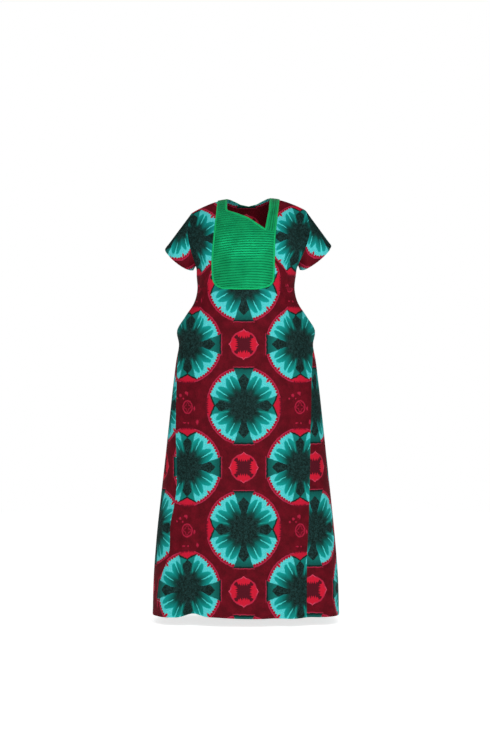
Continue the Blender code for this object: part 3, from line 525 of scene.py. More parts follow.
def bag_grid(side, front_edge, back_edge):
    """The pocket bag's rings: its mouth just inside the panels' edges, then the bag."""
    inward = np.array([-side * 0.0032, 0.0, 0.0])
    front_edge = front_edge + inward + np.array([0.0, 0.0010, 0.0])
    back_edge = back_edge + inward - np.array([0.0, 0.0010, 0.0])
    mouth = np.concatenate([front_edge, back_edge[-2:0:-1]])
    angles = 2 * math.pi * np.arange(len(mouth)) / len(mouth)
    rings = [mouth]
    knots = np.arange(len(POCKET_BAG))
    for at in np.linspace(0.0, knots[-1], 17):
        inset, top, end, half = (smooth(knots, column(POCKET_BAG, name), at) for name in Bag._fields)
        drops = (top + end) / 2 - (end - top) / 2 * np.cos(angles)
        x = side * (read(SECTIONS, "drop", "half_width", drops) - inset)
        y = bare_point(FRONT, x, drops)[1] + BAG_CLEARANCE + half * (1 - np.sin(angles))
        rings.append(np.stack([x, y, -drops], axis=-1))
    return np.array(rings)


front_grid = robe_point(FRONT, front_places[..., 0], front_places[..., 1])
back_grid = robe_point(BACK, back_places[..., 0], back_places[..., 1])
hem_line = front_grid[-1, :, 2]
print("hem line of the front:", hem_line.min().round(4), "to", hem_line.max().round(4))

# %% [markdown]
# The print is laid out in cloth lengths. Downwards, a place is as far as the cloth runs from the hip.
# Across, it is as far from the centre line as the cloth runs to it, which is more towards the sides.
# Two kinds of dart shape the front and take print away: an upright one on each side of the waist, widest
# at the waist and nothing at the hip, and a level one from each side seam below the bust. The side
# panels and the sleeves have their own places on the cloth.

# %% Places on the cloth
PRINT_CENTRE = -0.0079
WRAP = 1.71
PERSPECTIVE = 1.02
HIP_LEVEL = 0.36
Dart = namedtuple("Dart", "drop takes")
UPRIGHT_DART = rows_of(
    Dart,
    (0.0, 0.008), (0.08, 0.011), (0.13, 0.013), (0.18, 0.018), (0.22, 0.03), (0.26, 0.047),
    (0.3, 0.054), (0.34, 0.04), (0.39, 0.022), (0.5, 0.003), (0.6, 0.0),
)
UPRIGHT_DART_ACROSS = 0.147
LEVEL_DART_TAKES = 0.050
LEVEL_DART_DROP = 0.314
LEVEL_DART_REACH = (0.112, 0.148)
LEVEL_DART_RISE = 0.058
GORE_COLUMN = {-1: 0.0945, 1: 0.0210}
SLEEVE_ROUNDEL = 0.052
SLEEVE_TO_FRONT = 0.030


def cloth_place(face, across, drop):
    """Cloth lengths from the print's centre line, and down the cloth. Only the front has darts."""
    darts = float(face == FRONT)
    centred = (across - PRINT_CENTRE) * PERSPECTIVE
    u = centred * (1 + WRAP * centred**2)
    beyond = np.abs(across - PRINT_CENTRE) - UPRIGHT_DART_ACROSS
    soft = 0.012 + 0.026 * (1 - step(drop, 0.12, 0.25))
    takes = read(UPRIGHT_DART, "drop", "takes", drop) * step(beyond / soft, -1.0, 1.0)
    u = u + darts * np.sign(centred) * takes
    shares = np.linspace(0.0, 1.0, 25)
    line = np.clip(across, -0.10, 0.10)[..., None] + 0 * shares
    drops = drop[..., None] + (HIP_LEVEL - drop[..., None]) * shares**2
    y = bare_point(face, line, drops)[1]
    v = HIP_LEVEL - np.sign(HIP_LEVEL - drop) * np.hypot(np.diff(drops), np.diff(y)).sum(axis=-1)
    above = 1 - step(drop, LEVEL_DART_DROP - 0.004, LEVEL_DART_DROP + 0.004)
    risen = LEVEL_DART_RISE * (1 - step(drop, 0.19, 0.262))
    v = v - darts * LEVEL_DART_TAKES * above * step(np.abs(across) + risen, *LEVEL_DART_REACH)
    return np.stack([u, v], axis=-1)


front_cloth = cloth_place(FRONT, front_places[..., 0], front_places[..., 1])
back_cloth = cloth_place(BACK, back_places[..., 0], back_places[..., 1])
print("cloth down the front centre:", front_cloth[-1, 40, 1].round(3), "m")

# %% [markdown]
# The print is drawn by formula. Two roundels take turns on a staggered lattice, one lying across the
# other, with a medallion between those above each other and a small ring with dots between those side
# by side. The roundel has a beaded border, eight petals of two lobes with bright veins, and four dark
# leaves round a dark heart. The lattice is folded onto one quarter of a roundel, so each shape is drawn
# only once. Noise moves every edge a little, as dye does. Lengths here are in steps of PIXEL.

# %% The printed cloth
PIXEL = 0.00344
REPEAT = 123.0
FIRST_ROUNDEL = 0.721
DOTS = (
    (-8.8, -11.7, 1.6, 1.5), (-1.6, -14.2, 2.2, 1.5), (-0.4, -12.6, 0.9, 1.2), (-5.4, -8.5, 0.8, 0.8),
    (-13.1, -8.7, 1.0, 1.0), (8.7, 1.4, 1.0, 1.9), (-3.9, 15.8, 2.0, 0.7), (1.2, 16.0, 0.9, 0.9),
    (12.1, 15.0, 1.4, 2.2),
)
PETAL = ((9.0, 4.0), (16.0, 5.4), (22.0, 6.3), (26.0, 6.1), (30.0, 4.9), (34.0, 2.5))
VEIN = ((16.0, -0.6), (19.0, 0.15), (24.0, 0.5), (29.0, 0.75), (32.0, 0.8), (33.5, -0.8))
FLAT_END = ((22.0, 6.2), (26.0, 6.4), (31.0, 7.6), (35.0, 9.2), (39.0, 11.0))
ABOUT_LEAF = ((14.0, 5.4), (20.0, 7.2), (26.0, 7.6), (32.0, 9.0), (37.0, 10.8))
UPPER_LEAF = ((10.0, 3.2), (17.0, 3.1), (22.0, 4.5), (25.7, 5.4), (29.0, 3.2), (33.0, -1.0))
SIDE_LEAF = ((10.0, 2.2), (13.4, 2.5), (20.0, 4.3), (24.5, 5.3), (27.0, 3.1), (30.5, -1.0))
NOTCH_LINE = ((0.0, 0.0), (3.0, 1.7), (6.0, 3.1), (9.0, 4.2), (12.0, 5.6))
DART = ((31.6, -0.8), (33.5, 0.5), (35.4, 1.5), (36.6, 1.0), (38.0, 1.2))


def srgb(text):
    parts = [int(text[k : k + 2], 16) / 255 for k in (0, 2, 4)]
    return tuple(c / 12.92 if c <= 0.04045 else ((c + 0.055) / 1.055) ** 2.4 for c in parts) + (1.0,)


def fill(node, values):
    """The node's own inputs set by their names."""
    for name, value in values.items():
        node.inputs[name].default_value = value


def put(tree, kind, feeds):
    """A new node, with each named input linked to a socket or set to a value."""
    node = tree.nodes.new(kind)
    for name, value in feeds.items():
        if isinstance(value, bpy.types.NodeSocket):
            tree.links.new(value, node.inputs[name])
        else:
            node.inputs[name].default_value = value
    return node


def add_sockets(tree, *rows):
    for name, way, kind in rows:
        tree.interface.new_socket(name, in_out=way, socket_type="NodeSocket" + kind)


class Value:
    """A number in a node tree that can be reckoned with."""

    tree = None

    def __init__(self, socket):
        self.socket = socket

    @staticmethod
    def make(operation, *values, clamp=False):
        node = Value.tree.nodes.new("ShaderNodeMath")
        node.operation = operation
        node.use_clamp = clamp
        for k, value in enumerate(values):
            if isinstance(value, Value):
                Value.tree.links.new(value.socket, node.inputs[k])
            else:
                node.inputs[k].default_value = value
        return Value(node.outputs[0])

    def __abs__(self):
        return Value.make("ABSOLUTE", self)

    def __rsub__(self, other):
        return Value.make("SUBTRACT", other, self)


def reckoner(operation):
    return lambda self, other: Value.make(operation, self, other)


Value.__add__ = Value.__radd__ = reckoner("ADD")
Value.__sub__ = reckoner("SUBTRACT")
Value.__mul__ = Value.__rmul__ = reckoner("MULTIPLY")
Value.__truediv__ = reckoner("DIVIDE")
Value.low = reckoner("MINIMUM")
Value.high = reckoner("MAXIMUM")


def length_of(a, b):
    return Value.make("SQRT", a * a + b * b)


def within(distance, soft=0.7):
    """1 inside a shape, 0 outside it, from the distance to its edge."""
    return Value.make("MULTIPLY_ADD", distance, -1 / soft, 0.5, clamp=True)


def folded(value, period):
    turns = value / period
    return (turns - Value.make("ROUND", turns)) * period


def ramp(value, start, end):
    """0 before start and 1 after end."""
    return Value.make("MULTIPLY_ADD", value, 1 / (end - start), -start / (end - start), clamp=True)


def profile(value, points):
    """A half-width that follows a drawn curve; points are (where, how wide)."""
    first, last = points[0][0], points[-1][0]
    node = Value.tree.nodes.new("ShaderNodeFloatCurve")
    curve = node.mapping.curves[0]
    for _ in range(len(points) - 2):
        curve.points.new(0.5, 0.5)
    for knot, (x, y) in zip(curve.points, points):
        knot.location = ((x - first) / (last - first), (y + 2) / 14)
    node.mapping.update()
    Value.tree.links.new(ramp(value, first, last).socket, node.inputs["Value"])
    return Value(node.outputs[0]) * 14 - 2


def paint(base, colour, mask):
    """The base colour with another laid over it where the mask is 1. A colour is a code or a socket."""
    node = Value.tree.nodes.new("ShaderNodeMix")
    node.data_type = "RGBA"
    for k, value in ((6, base), (7, colour)):
        if isinstance(value, str):
            node.inputs[k].default_value = srgb(value)
        else:
            Value.tree.links.new(value, node.inputs[k])
    Value.tree.links.new(mask.socket, node.inputs[0])
    return node.outputs[2]


def noise(vector, scale, detail, distortion=0.0):
    node = Value.tree.nodes.new("ShaderNodeTexNoise")
    fill(node, {"Scale": scale, "Detail": detail, "Distortion": distortion})
    Value.tree.links.new(vector, node.inputs["Vector"])
    return node


def print_group():
    tree = bpy.data.node_groups.new("print of roundels", "ShaderNodeTree")
    add_sockets(tree, ("Place", "INPUT", "Vector"))
    add_sockets(tree, ("Color", "OUTPUT", "Color"), ("Height", "OUTPUT", "Float"))
    Value.tree = tree
    given = tree.nodes.new("NodeGroupInput").outputs[0]
    split = tree.nodes.new("ShaderNodeSeparateXYZ")
    tree.links.new(given, split.inputs[0])
    x = Value(split.outputs[0]) / PIXEL
    y = (Value(split.outputs[1]) - FIRST_ROUNDEL) / PIXEL
    join = tree.nodes.new("ShaderNodeCombineXYZ")
    tree.links.new(x.socket, join.inputs[0])
    tree.links.new(y.socket, join.inputs[1])
    plain = join.outputs[0]
    wobble = tree.nodes.new("ShaderNodeSeparateColor")
    tree.links.new(noise(plain, 0.42, 3.0).outputs["Color"], wobble.inputs[0])
    x = x + (Value(wobble.outputs[0]) - 0.5) * 1.7
    y = y + (Value(wobble.outputs[1]) - 0.5) * 1.7
    fine = Value(noise(plain, 1.1, 4.0).outputs[0])
    cloud = Value(noise(plain, 0.10, 4.0).outputs[0])
    curl = Value(noise(plain, 0.50, 2.0, 1.6).outputs[0])

    xs = folded(x, REPEAT)
    ys = folded(y, REPEAT)
    xa = abs(xs)
    ya = abs(ys)
    xb = REPEAT / 2 - xa
    yb = REPEAT / 2 - ya
    upright = Value.make("LESS_THAN", xa * xa + ya * ya, xb * xb + yb * yb)
    p = yb + upright * (xa - yb)
    q = xb + upright * (ya - xb)
    r = length_of(p, q)

    colour = paint("540814", "6a0b1b", ramp(cloud, 0.38, 0.68))

    def coat(over, mask):
        nonlocal colour
        colour = paint(colour, over, mask)

    coat("42060f", ramp(curl, 0.50, 0.66) * 0.45)

    # The medallion, between two upright roundels
    reach = length_of(xa, yb)
    near, far = xa.low(yb), xa.high(yb)
    tip = Value.make("MULTIPLY_ADD", near, -1 / 3.2, 1.0, clamp=True)
    edge = reach - (13.8 + tip * tip * 1.8)
    coat("b02440", within(edge, 0.8))
    coat("d8506a", within(abs(edge + 0.5) - 0.25, 0.6) * within(near - 3.2, 2.4))
    coat("c01830", within(edge + 1.1, 0.8))
    teeth = Value.make("PINGPONG", near + 0.3, 1.15)
    heart = within(reach * 0.22 + far * 0.78 - (8.9 - teeth * 2.6), 0.8)
    between = within(far - near - 3.4 + teeth * 1.3, 0.8) * within(reach - 12.4, 0.6)
    coat("500f1c", heart.high(between))

    # The small ring and its dots, between two roundels side by side
    side = Value.make("SIGN", xs) * -1.0
    dx = xb * side
    dy = ys - 1.7
    ring = length_of(dx / 6.0, dy / 6.3)
    lobes = Value.make("COSINE", Value.make("ARCTAN2", dy, dx) * 4.0)
    band = within(abs(ring - 1.0) * 6.0 - 0.60, 0.7)
    inner = within(abs(ring - (0.58 + lobes * 0.16)) * 6.0 - 0.45, 0.7)
    marks = band.high(inner * 0.8)
    for cx, cy, ax, ay in DOTS:
        marks = marks.high(within(length_of((dx - cx) / ax, (dy - cy) / ay) * ax - ax, 0.8))
    coat("a41c38", marks)

    # The roundel's border with its beads
    angle = Value.make("ARCTAN2", q, p)
    beads = (Value.make("FRACT", angle * (76 / (2 * math.pi))) - 0.5) * 3.05
    bitten = within(length_of(beads, r - 36.9) - 1.25, 0.5)
    coat("ae2c4a", within(r - 39.1, 0.6))
    coat("a01a38", within(r - 38.5, 0.6))
    light = paint("3ab8ba", "66d2d0", ramp(fine, 0.44, 0.64))
    light = paint(light, "2bb4ba", ramp(curl, 0.56, 0.72) * 0.5)
    disc = within(r - (36.9 + (fine - 0.5) * 1.2), 0.5)
    coat(light, disc)
    coat("930a24", bitten)

    # Flat ends of the roundel, above and below
    flat = within(p - profile(q, FLAT_END), 0.8)
    flat = flat * within(q - 38.4, 0.5) * ramp(q, 20.0, 21.0)
    shade = paint("0e6a62", "0a443f", ramp(q + (curl - 0.5) * 6.0, 28.0, 38.0))
    coat(shade, flat)
    coat("0a211f", flat * within(abs(q - 37.5) - 0.8, 0.5))
    coat("a01a38", within(abs(q - 38.9) - 0.35, 0.5) * within(p - 11.2, 0.8))

    # Two petals a quarter, each of two lobes with a bright vein between them
    petals = []
    for turn, short in ((61.5, 0.0), (30.5, 0.6)):
        c, s = math.cos(math.radians(turn)), math.sin(math.radians(turn))
        along = p * c + q * s + short
        beside = abs(q * c - p * s)
        lobe = beside - 2.3
        end = along - (32.2 - lobe * lobe * 0.42)
        edge = (beside - profile(along, PETAL)).high(end) - (curl - 0.5) * 0.8
        petals.append((along, beside, edge))
    for along, beside, edge in petals:
        coat("1aa3a4", within(edge - 0.8, 1.0) * ramp(along, 12.0, 14.0) * 0.7)
    for along, beside, edge in petals:
        tone = along + beside * 1.1 + (fine - 0.5) * 6.0
        leaf = paint("08433c", "0a8c85", ramp(tone, 20.0, 33.0))
        coat(leaf, within(edge, 0.8) * ramp(along, 9.0, 10.0))
        vein = profile(along, VEIN)
        coat("46ccc8", within(beside - vein + 0.1, 0.5) * ramp(along, 16.5, 22.0))

    # Dark teal about the side leaf, with a lighter band
    about = within(q - profile(p, ABOUT_LEAF), 1.2)
    about = about * ramp(p, 13.0, 16.0) * within(r - 36.6, 0.6)
    teal = paint("0b4f49", "0b7a72", ramp(p + (fine - 0.5) * 6.0, 18.0, 33.0))
    coat(teal, about)
    band = within(abs(q - (3.0 + p * 0.17)) - 0.7, 1.0) * ramp(p, 13.0, 17.0) * within(p - 26.0, 3.0)
    coat("148e84", band * 0.8)

    # Leaves along both axes, and the heart
    upper = p - profile(q, UPPER_LEAF)
    wide = q - profile(p, SIDE_LEAF)
    dark = paint("0b1c19", "1c3a38", ramp(curl, 0.44, 0.62))
    leaves = within(upper, 0.7) * ramp(q, 10.0, 11.0)
    leaves = leaves.high(within(wide, 0.7) * ramp(p, 10.0, 11.0))
    star = Value.make("COSINE", angle * 12.0) * 1.5
    heart = within(r - (16.2 + star + (curl - 0.5) * 4.0), 5.0)
    coat(dark, leaves.high(heart))

    # Red notch at each side, with its rays
    line = profile(q, NOTCH_LINE)
    notch = 30.9 + line - p
    tall = within(q - 10.4, 0.8)
    coat("10211e", within(abs(notch - 0.6) - 1.2, 0.6) * tall * within(r - 36.9, 0.6))
    rays = Value.make("PINGPONG", q + 0.2, 0.8)
    patch = within(q - 8.0, 1.0) * ramp(r, 36.6, 37.2) * within(r - 40.5, 0.6) * ramp(p, 30.0, 32.0)
    coat("5a0a1a", patch)
    reach = 39.3 - rays * 3.2
    coat("b81630", within(notch, 0.6) * tall * within(r - reach, 0.6))

    # Small red darts that point inwards between the petals
    slant = (p + q) * math.sqrt(0.5)
    off = abs(p - q) * math.sqrt(0.5)
    dart = off - profile(slant, DART)
    coat("a00f2a", within(dart, 0.6) * within(r - 38.0, 0.6))

    # Fine speckle, as the dye takes unevenly on the yarns
    speckle = Value(noise(plain, 3.2, 2.0).outputs[0])
    coat("000000", ramp(speckle, 0.50, 0.72) * 0.22)
    result = tree.nodes.new("NodeGroupOutput")
    tree.links.new(colour, result.inputs[0])
    tree.links.new((speckle * 0.6 + fine * 0.4).socket, result.inputs[1])
    print("print group:", len(tree.nodes), "nodes")
    return tree


def plain_material(name, values):
    material = bpy.data.materials.new(name)
    material.use_nodes = True
    shader = material.node_tree.nodes["Principled BSDF"]
    fill(shader, values)
    return material, material.node_tree, shader


def on_cloth(tree, group):
    """The group's node, fed with the place on the cloth."""
    place = tree.nodes.new("ShaderNodeUVMap")
    place.uv_map = "cloth"
    node = tree.nodes.new("ShaderNodeGroup")
    node.node_tree = group
    tree.links.new(place.outputs[0], node.inputs[0])
    return node


def raise_yarns(tree, shader, height, strength, distance):
    bump = put(tree, "ShaderNodeBump", {"Strength": strength, "Distance": distance, "Height": height})
    tree.links.new(bump.outputs[0], shader.inputs["Normal"])


def print_material():
    cotton = {"Roughness": 0.72, "Specular IOR Level": 0.06}
    material, tree, shader = plain_material("printed cotton", cotton)
    group = on_cloth(tree, print_group())
    tree.links.new(group.outputs[0], shader.inputs["Base Color"])
    raise_yarns(tree, shader, group.outputs[1], 0.12, 0.0004)
    return material


printed = print_material()

# %% [markdown]
# The bib, its strap and the bindings are a satin cotton in two greens. Such a cloth has a soft broad
# reflection in its own colour, so it gets a lower roughness and a green tint to what it reflects. Its
# yarns show as a fine bump, and the bottoms of the tucks get painted shade: their colour is darkened
# along each groove, where the shade of the tuck falls.

# %% The green cloths and the thread


def satin_group():
    tree = bpy.data.node_groups.new("satin yarns", "ShaderNodeTree")
    add_sockets(tree, ("Place", "INPUT", "Vector"), ("Painted groove shade", "INPUT", "Float"))
    add_sockets(tree, ("Tone", "OUTPUT", "Float"), ("Height", "OUTPUT", "Float"))
    Value.tree = tree
    source = tree.nodes.new("NodeGroupInput")
    given = source.outputs[0]
    split = tree.nodes.new("ShaderNodeSeparateXYZ")
    tree.links.new(given, split.inputs[0])
    broad = Value(noise(given, 26.0, 3.0).outputs[0])
    yarn = Value(noise(given, 900.0, 2.0).outputs[0])
    turn = Value.make("FRACT", Value(split.outputs[1]) / -TUCK_PITCH)
    # Painted shade: the colour is darkened along the bottom of each tuck, where its groove lies in shade.
    painted_groove_shade = (within(abs(turn - 0.5) * -1.0 + 0.34, 0.22)) * Value(source.outputs[1])
    result = tree.nodes.new("NodeGroupOutput")
    tree.links.new((broad * 0.7 + yarn * 0.3 - painted_groove_shade).socket, result.inputs[0])
    tree.links.new(yarn.socket, result.inputs[1])
    return tree


def satin_material(name, deep, light, roughness, group, painted_groove_shade=0.0):
    green = {"Roughness": roughness, "Specular IOR Level": 0.8, "Specular Tint": srgb("18f0a0")}
    material, tree, shader = plain_material(name, green)
    use = on_cloth(tree, group)
    fill(use, {"Painted groove shade": painted_groove_shade})
    shades = tree.nodes.new("ShaderNodeValToRGB")
    shades.color_ramp.elements[0].color = srgb(deep)
    shades.color_ramp.elements[1].position = 0.75
    shades.color_ramp.elements[1].color = srgb(light)
    tree.links.new(use.outputs[0], shades.inputs[0])
    tree.links.new(shades.outputs[0], shader.inputs["Base Color"])
    raise_yarns(tree, shader, use.outputs[1], 0.10, 0.0003)
    return material


TUCK_PITCH = 0.0089
yarns = satin_group()
# The bib gets painted shade in its tuck grooves, at 0.38; the bindings get none.
bib_satin = satin_material("green satin", "045430", "16975a", 0.30, yarns, 0.38)
binding_satin = satin_material("light green binding", "0d8a4c", "17a660", 0.40, yarns)
hem_thread = plain_material("dark red thread", {"Roughness": 0.6, "Base Color": srgb("5c0c1a")})[0]
green_thread = plain_material("green thread", {"Roughness": 0.5, "Base Color": srgb("0f9456")})[0]
print("materials:", len(bpy.data.materials))

# %% [markdown]
# Each piece is one sheet with two skins and a thin rim. The hem rows carry a small relief: the turned
# edge stands a little proud and the stitch line draws it in, which is how a folded and stitched hem
# looks from outside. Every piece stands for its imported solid.

# %% Sheets of cloth
HEM_RELIEF = np.array([0.0, 0.0001, 0.0005, -0.0003, 0.0005, 0.0006, 0.0005, 0.0001])
SKIN_OUT = 0.0001
SKIN_IN = -0.0007
TINY = 1e-15
AXIS = np.array([0.0, 0.0, -0.7])
UNDER_BIB = 0.0009
BIB_MARGIN = 0.002
BIB_LOWEST = 0.315
SEAM_INSET = 0.00005
HEM_RELIEF_OF_SLEEVE = np.array([0.0001, 0.0005, -0.0003, 0.0006, 0.0005, 0.0001])
POCKET_SKINS = (-0.0006, 0.0)
POINT_SHARE = 0.02


def cells(r, c, after, wide):
    """Corner numbers of the cells at these rows and columns of a grid so many places wide."""
    return np.stack([r * wide + c, (r + 1) * wide + c, (r + 1) * wide + after, r * wide + after], axis=1)


def quads(grid, closed=False):
    """Corner numbers of a grid's cells, and the same without joining the last column to the first."""
    rows, columns = grid.shape[:2]
    across = columns if closed else columns - 1
    r, c = np.meshgrid(np.arange(rows - 1), np.arange(across), indexing="ij")
    r, c = r.ravel(), c.ravel()
    faces = cells(r, c, (c + 1) % columns, columns)
    return faces, cells(r, c, c + 1, columns + 1 if closed else columns)


def corner_normals(points, faces):
    normals = np.cross(points[faces[:, 2]] - points[faces[:, 0]], points[faces[:, 3]] - points[faces[:, 1]])
    totals = np.zeros_like(points)
    for k in range(4):
        np.add.at(totals, faces[:, k], normals)
    return unit(totals, TINY), normals


def rim_of(faces, places):
    """The edges that only one face has, with their places on the cloth."""
    starts, ends = faces.ravel(), np.roll(faces, -1, axis=1).ravel()
    first, second = places.ravel(), np.roll(places, -1, axis=1).ravel()
    count = int(faces.max()) + 1
    keys = starts * count + ends
    alone = ~np.isin(keys, ends * count + starts) & (starts != ends)
    return starts[alone], ends[alone], first[alone], second[alone]


def shell(name, points, faces, cloth, places, material, skins, inside):
    """A closed thin piece from a sheet of points, with its cloth places as its texture map."""
    points = points.reshape(-1, 3)
    cloth = cloth.reshape(-1, 2)
    low, high = (np.broadcast_to(skin, points.shape[0])[:, None] for skin in skins)
    normals, face_normals = corner_normals(points, faces)
    centres = points[faces].mean(axis=1)
    if (face_normals * (centres - inside)).sum() < 0:
        faces, places, normals = faces[:, ::-1], places[:, ::-1], -normals
    count = len(points)
    a, b, u, w = rim_of(faces, places)
    rim = np.stack([b, a, a + count, b + count], axis=1)
    every = np.concatenate([faces, faces[:, ::-1] + count, rim])
    every_place = np.concatenate([places, places[:, ::-1], np.stack([w, u, u, w], axis=1)])
    corners = np.concatenate([points + normals * high, points + normals * low])
    used, index = np.unique(every, return_inverse=True)
    every = index.reshape(every.shape)
    mesh = bpy.data.meshes.new(name)
    mesh.from_pydata(corners[used].tolist(), [], every.tolist())
    layer = mesh.uv_layers.new(name="cloth")
    layer.data.foreach_set("uv", cloth[every_place.ravel()].astype(np.float32).ravel())
    mesh.materials.append(material)
    mesh.shade_smooth()
    mesh.set_sharp_from_angle(angle=math.radians(48))
    piece = bpy.data.objects.new(name, mesh)
    bpy.context.scene.collection.objects.link(piece)
    area = float(np.linalg.norm(face_normals, axis=1).sum() / 2)
    print(name, "faces", len(every), "area", round(area, 4), "m2")
    return piece


def drawn_to_seam(grid):
    """The sheet's side edges moved in by a hair, so that neighbours stay apart at the seam."""
    grid = grid.copy()
    for edge, beside in ((0, 1), (-1, -2)):
        grid[:, edge] += SEAM_INSET * unit(grid[:, beside] - grid[:, edge], 1e-9)
    return grid


def hem_skins(grid, relief=HEM_RELIEF):
    """The two skins of a sheet, the outer one with its turned hem on the last rows."""
    proud = np.zeros(grid.shape[:2])
    proud[-len(relief) :] = relief[:, None]
    return SKIN_IN, (SKIN_OUT + proud).ravel()


def join_to_frame(piece, node):
    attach(piece, "root")
    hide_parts(node)
    return piece


def under_bib(across, drop):
    """Which places of the front lie under the bib, its outline being read as a left and a right edge."""
    left = [c for c in BIB_OUTLINE if c.across < 0]
    right = [c for c in BIB_OUTLINE if c.across > 0][::-1]
    low, high = (np.interp(drop, column(edge, "drop"), column(edge, "across")) for edge in (left, right))
    return (across > low + BIB_MARGIN) & (across < high - BIB_MARGIN) & (drop < BIB_LOWEST)


def print_piece(name, grid, faces, cloth, places, skins, inside=AXIS):
    """A sheet of the printed cloth that stands for the solid of the same name."""
    piece = shell("cloth_" + name, grid, faces, cloth, places, printed, skins, inside)
    join_to_frame(piece, name)


for name, grid, cloth in (("front_panel", front_grid, front_cloth), ("back_panel", back_grid, back_cloth)):
    columns = grid.shape[1]
    faces, places = quads(grid)
    if name == "front_panel":
        r, c = faces[:, 0] // columns, faces[:, 0] % columns
        first, last = LEFT_COLUMNS * SPLIT, (LEFT_COLUMNS + FRONT_NECK_COLUMNS) * SPLIT
        keep = (r >= NECK_ROWS) | (c < first) | (c >= last)
        faces, places = faces[keep], places[keep]
        lower = UNDER_BIB * under_bib(front_places[..., 0], front_places[..., 1])
    else:
        lower = np.zeros(grid.shape[:2])
        neck_columns = slice(LEFT_COLUMNS * SPLIT - 1, (LEFT_COLUMNS + BACK_NECK_COLUMNS) * SPLIT + 2)
        lower[:2, neck_columns] = UNDER_BIB
    skins = tuple(skin - lower.ravel() for skin in hem_skins(grid))
    print_piece(name, drawn_to_seam(grid), faces, cloth, places, skins)

gores = {}
sleeves = {}
for side, word in ((-1, "left"), (1, "right")):
    edge = 0 if side < 0 else -1
    grid, along = gore_grid(side)
    gores[side] = grid
    down = cloth_place(FRONT, front_places[-len(SKIRT_DROPS) :, edge, 0], SKIRT_DROPS)[:, 1]
    cloth = np.stack([side * (along - GORE_COLUMN[side]), down[:, None] + 0 * along], axis=-1)
    faces, places = quads(grid)
    grid[0] += (grid[1] - grid[0]) * POINT_SHARE
    print_piece("side_panel_" + word, drawn_to_seam(grid), faces, cloth, places, hem_skins(grid))

    armhole = slice(0, ARMHOLE_ROWS + 1)
    grid, angles, front_count = sleeve_grid(side, front_grid[armhole, edge], back_grid[armhole, edge])
    sleeves[side] = grid
    faces = quads(grid, closed=True)[0]
    outward = (grid - grid[0, 0]) @ unit(grid[-1, 0] - grid[0, 0])
    ring = np.concatenate([grid, grid[:, :1]], axis=1)
    around = np.array([lengths_along(row) for row in ring])
    down = FIRST_ROUNDEL + outward - SLEEVE_ROUNDEL
    back = front_count - 1
    of_front = np.stack([around[:, :front_count] - SLEEVE_TO_FRONT, down[:, :front_count]], axis=-1)
    back_down = np.concatenate([down[:, back:], down[:, :1]], axis=1)
    of_back = np.stack([around[:, back:] - around[:, -1:] - SLEEVE_TO_FRONT, back_down], axis=-1)
    cloth = np.concatenate([of_front, of_back], axis=1)
    r, c = faces[:, 0] // grid.shape[1], faces[:, 0] % grid.shape[1]
    c = np.where(c >= back, c + 1, c)
    places = cells(r, c, c + 1, cloth.shape[1])
    skins = hem_skins(grid, HEM_RELIEF_OF_SLEEVE)
    print_piece("sleeve_" + word, grid, faces, cloth, places, skins, grid.mean(axis=1)[r])

    grid = bag_grid(side, front_grid[MOUTH, edge], back_grid[MOUTH, edge])
    grid = np.concatenate([grid, np.repeat(grid[-1].mean(axis=0)[None, None], grid.shape[1], axis=1)])
    grid[-1] += (grid[-2] - grid[-1]) * POINT_SHARE
    faces, places = quads(grid, closed=True)
    wrapped = np.concatenate([grid, grid[:, :1]], axis=1)
    cloth = np.stack([side * (0.30 - np.abs(wrapped[..., 0])), -wrapped[..., 2] + 0.2], axis=-1)
    centres = grid.mean(axis=1)[faces[:, 0] // grid.shape[1]]
    print_piece("pocket_" + word, grid, faces, cloth, places, POCKET_SKINS, centres)

# %% [markdown]
# The bib and the bindings lie on the robe, so they are drawn on a chart of it: across the chest, and
# down the cloth from the shoulder line. A point of the chart goes to the same creased surface as the
# panel under it, which keeps the layers apart by an even gap. The pin-tucks are narrow folds that are
# stitched down, so each has steep edges and a flat top.

# %% The bib, its strap and the bindings
CHART_ACROSS = 0.09
CHART_WAYS = np.linspace(0.0, 4.2, 600)
LAYER_GAP = 0.0010
BIB_CLOTH = 0.0010
BIB_BINDING = 0.0065
NECK_BINDING = 0.0080
SEAM_GAP = 0.0003
UNDER_BINDING = 0.0009
EDGE_HEIGHT = 0.0003
EDGE_SHARE = 0.008
TUCK_SHARES = np.array([0.0, 0.07, 0.15, 0.22, 0.52, 0.82, 0.89, 0.95])
TUCK_HEIGHTS = np.array([0.0000, 0.0009, 0.0013, 0.0014, 0.0014, 0.0014, 0.0013, 0.0008])
CHEST = np.array([0.0, 0.0, -0.2])
BIB_COLUMNS = 48
BIB_LEFT_COLUMNS = 32
RIB_PITCH_COLUMNS = 8


def chart_lengths(face):
    drops = float(shoulder_drop(CHART_ACROSS)) + fall(CHART_WAYS)[0]
    points = np.stack(bare_point(face, np.full(len(drops), CHART_ACROSS), drops)[:2] + (drops,), axis=-1)
    return lengths_along(points)


CHART = {FRONT: chart_lengths(FRONT), BACK: chart_lengths(BACK)}


def chart_point(across, along):
    across, along = np.asarray(across, float), np.asarray(along, float)
    result = np.zeros(across.shape + (3,))
    for face, here in ((FRONT, along >= 0), (BACK, along < 0)):
        drops = shoulder_drop(across) + fall(np.interp(np.abs(along), CHART[face], CHART_WAYS))[0]
        result = np.where(here[..., None], robe_point(face, across, drops), result)
    return result


def chart_normals(across, along):
    small = 0.0012
    over = chart_point(across + small, along) - chart_point(across - small, along)
    down = chart_point(across, along + small) - chart_point(across, along - small)
    return unit(np.cross(down, over))


def chart_path(corners):
    ways = [float(way_of(c.drop - shoulder_drop(c.across))) for c in corners]
    return np.array([[c.across, np.interp(way, CHART_WAYS, CHART[FRONT])] for c, way in zip(corners, ways)])


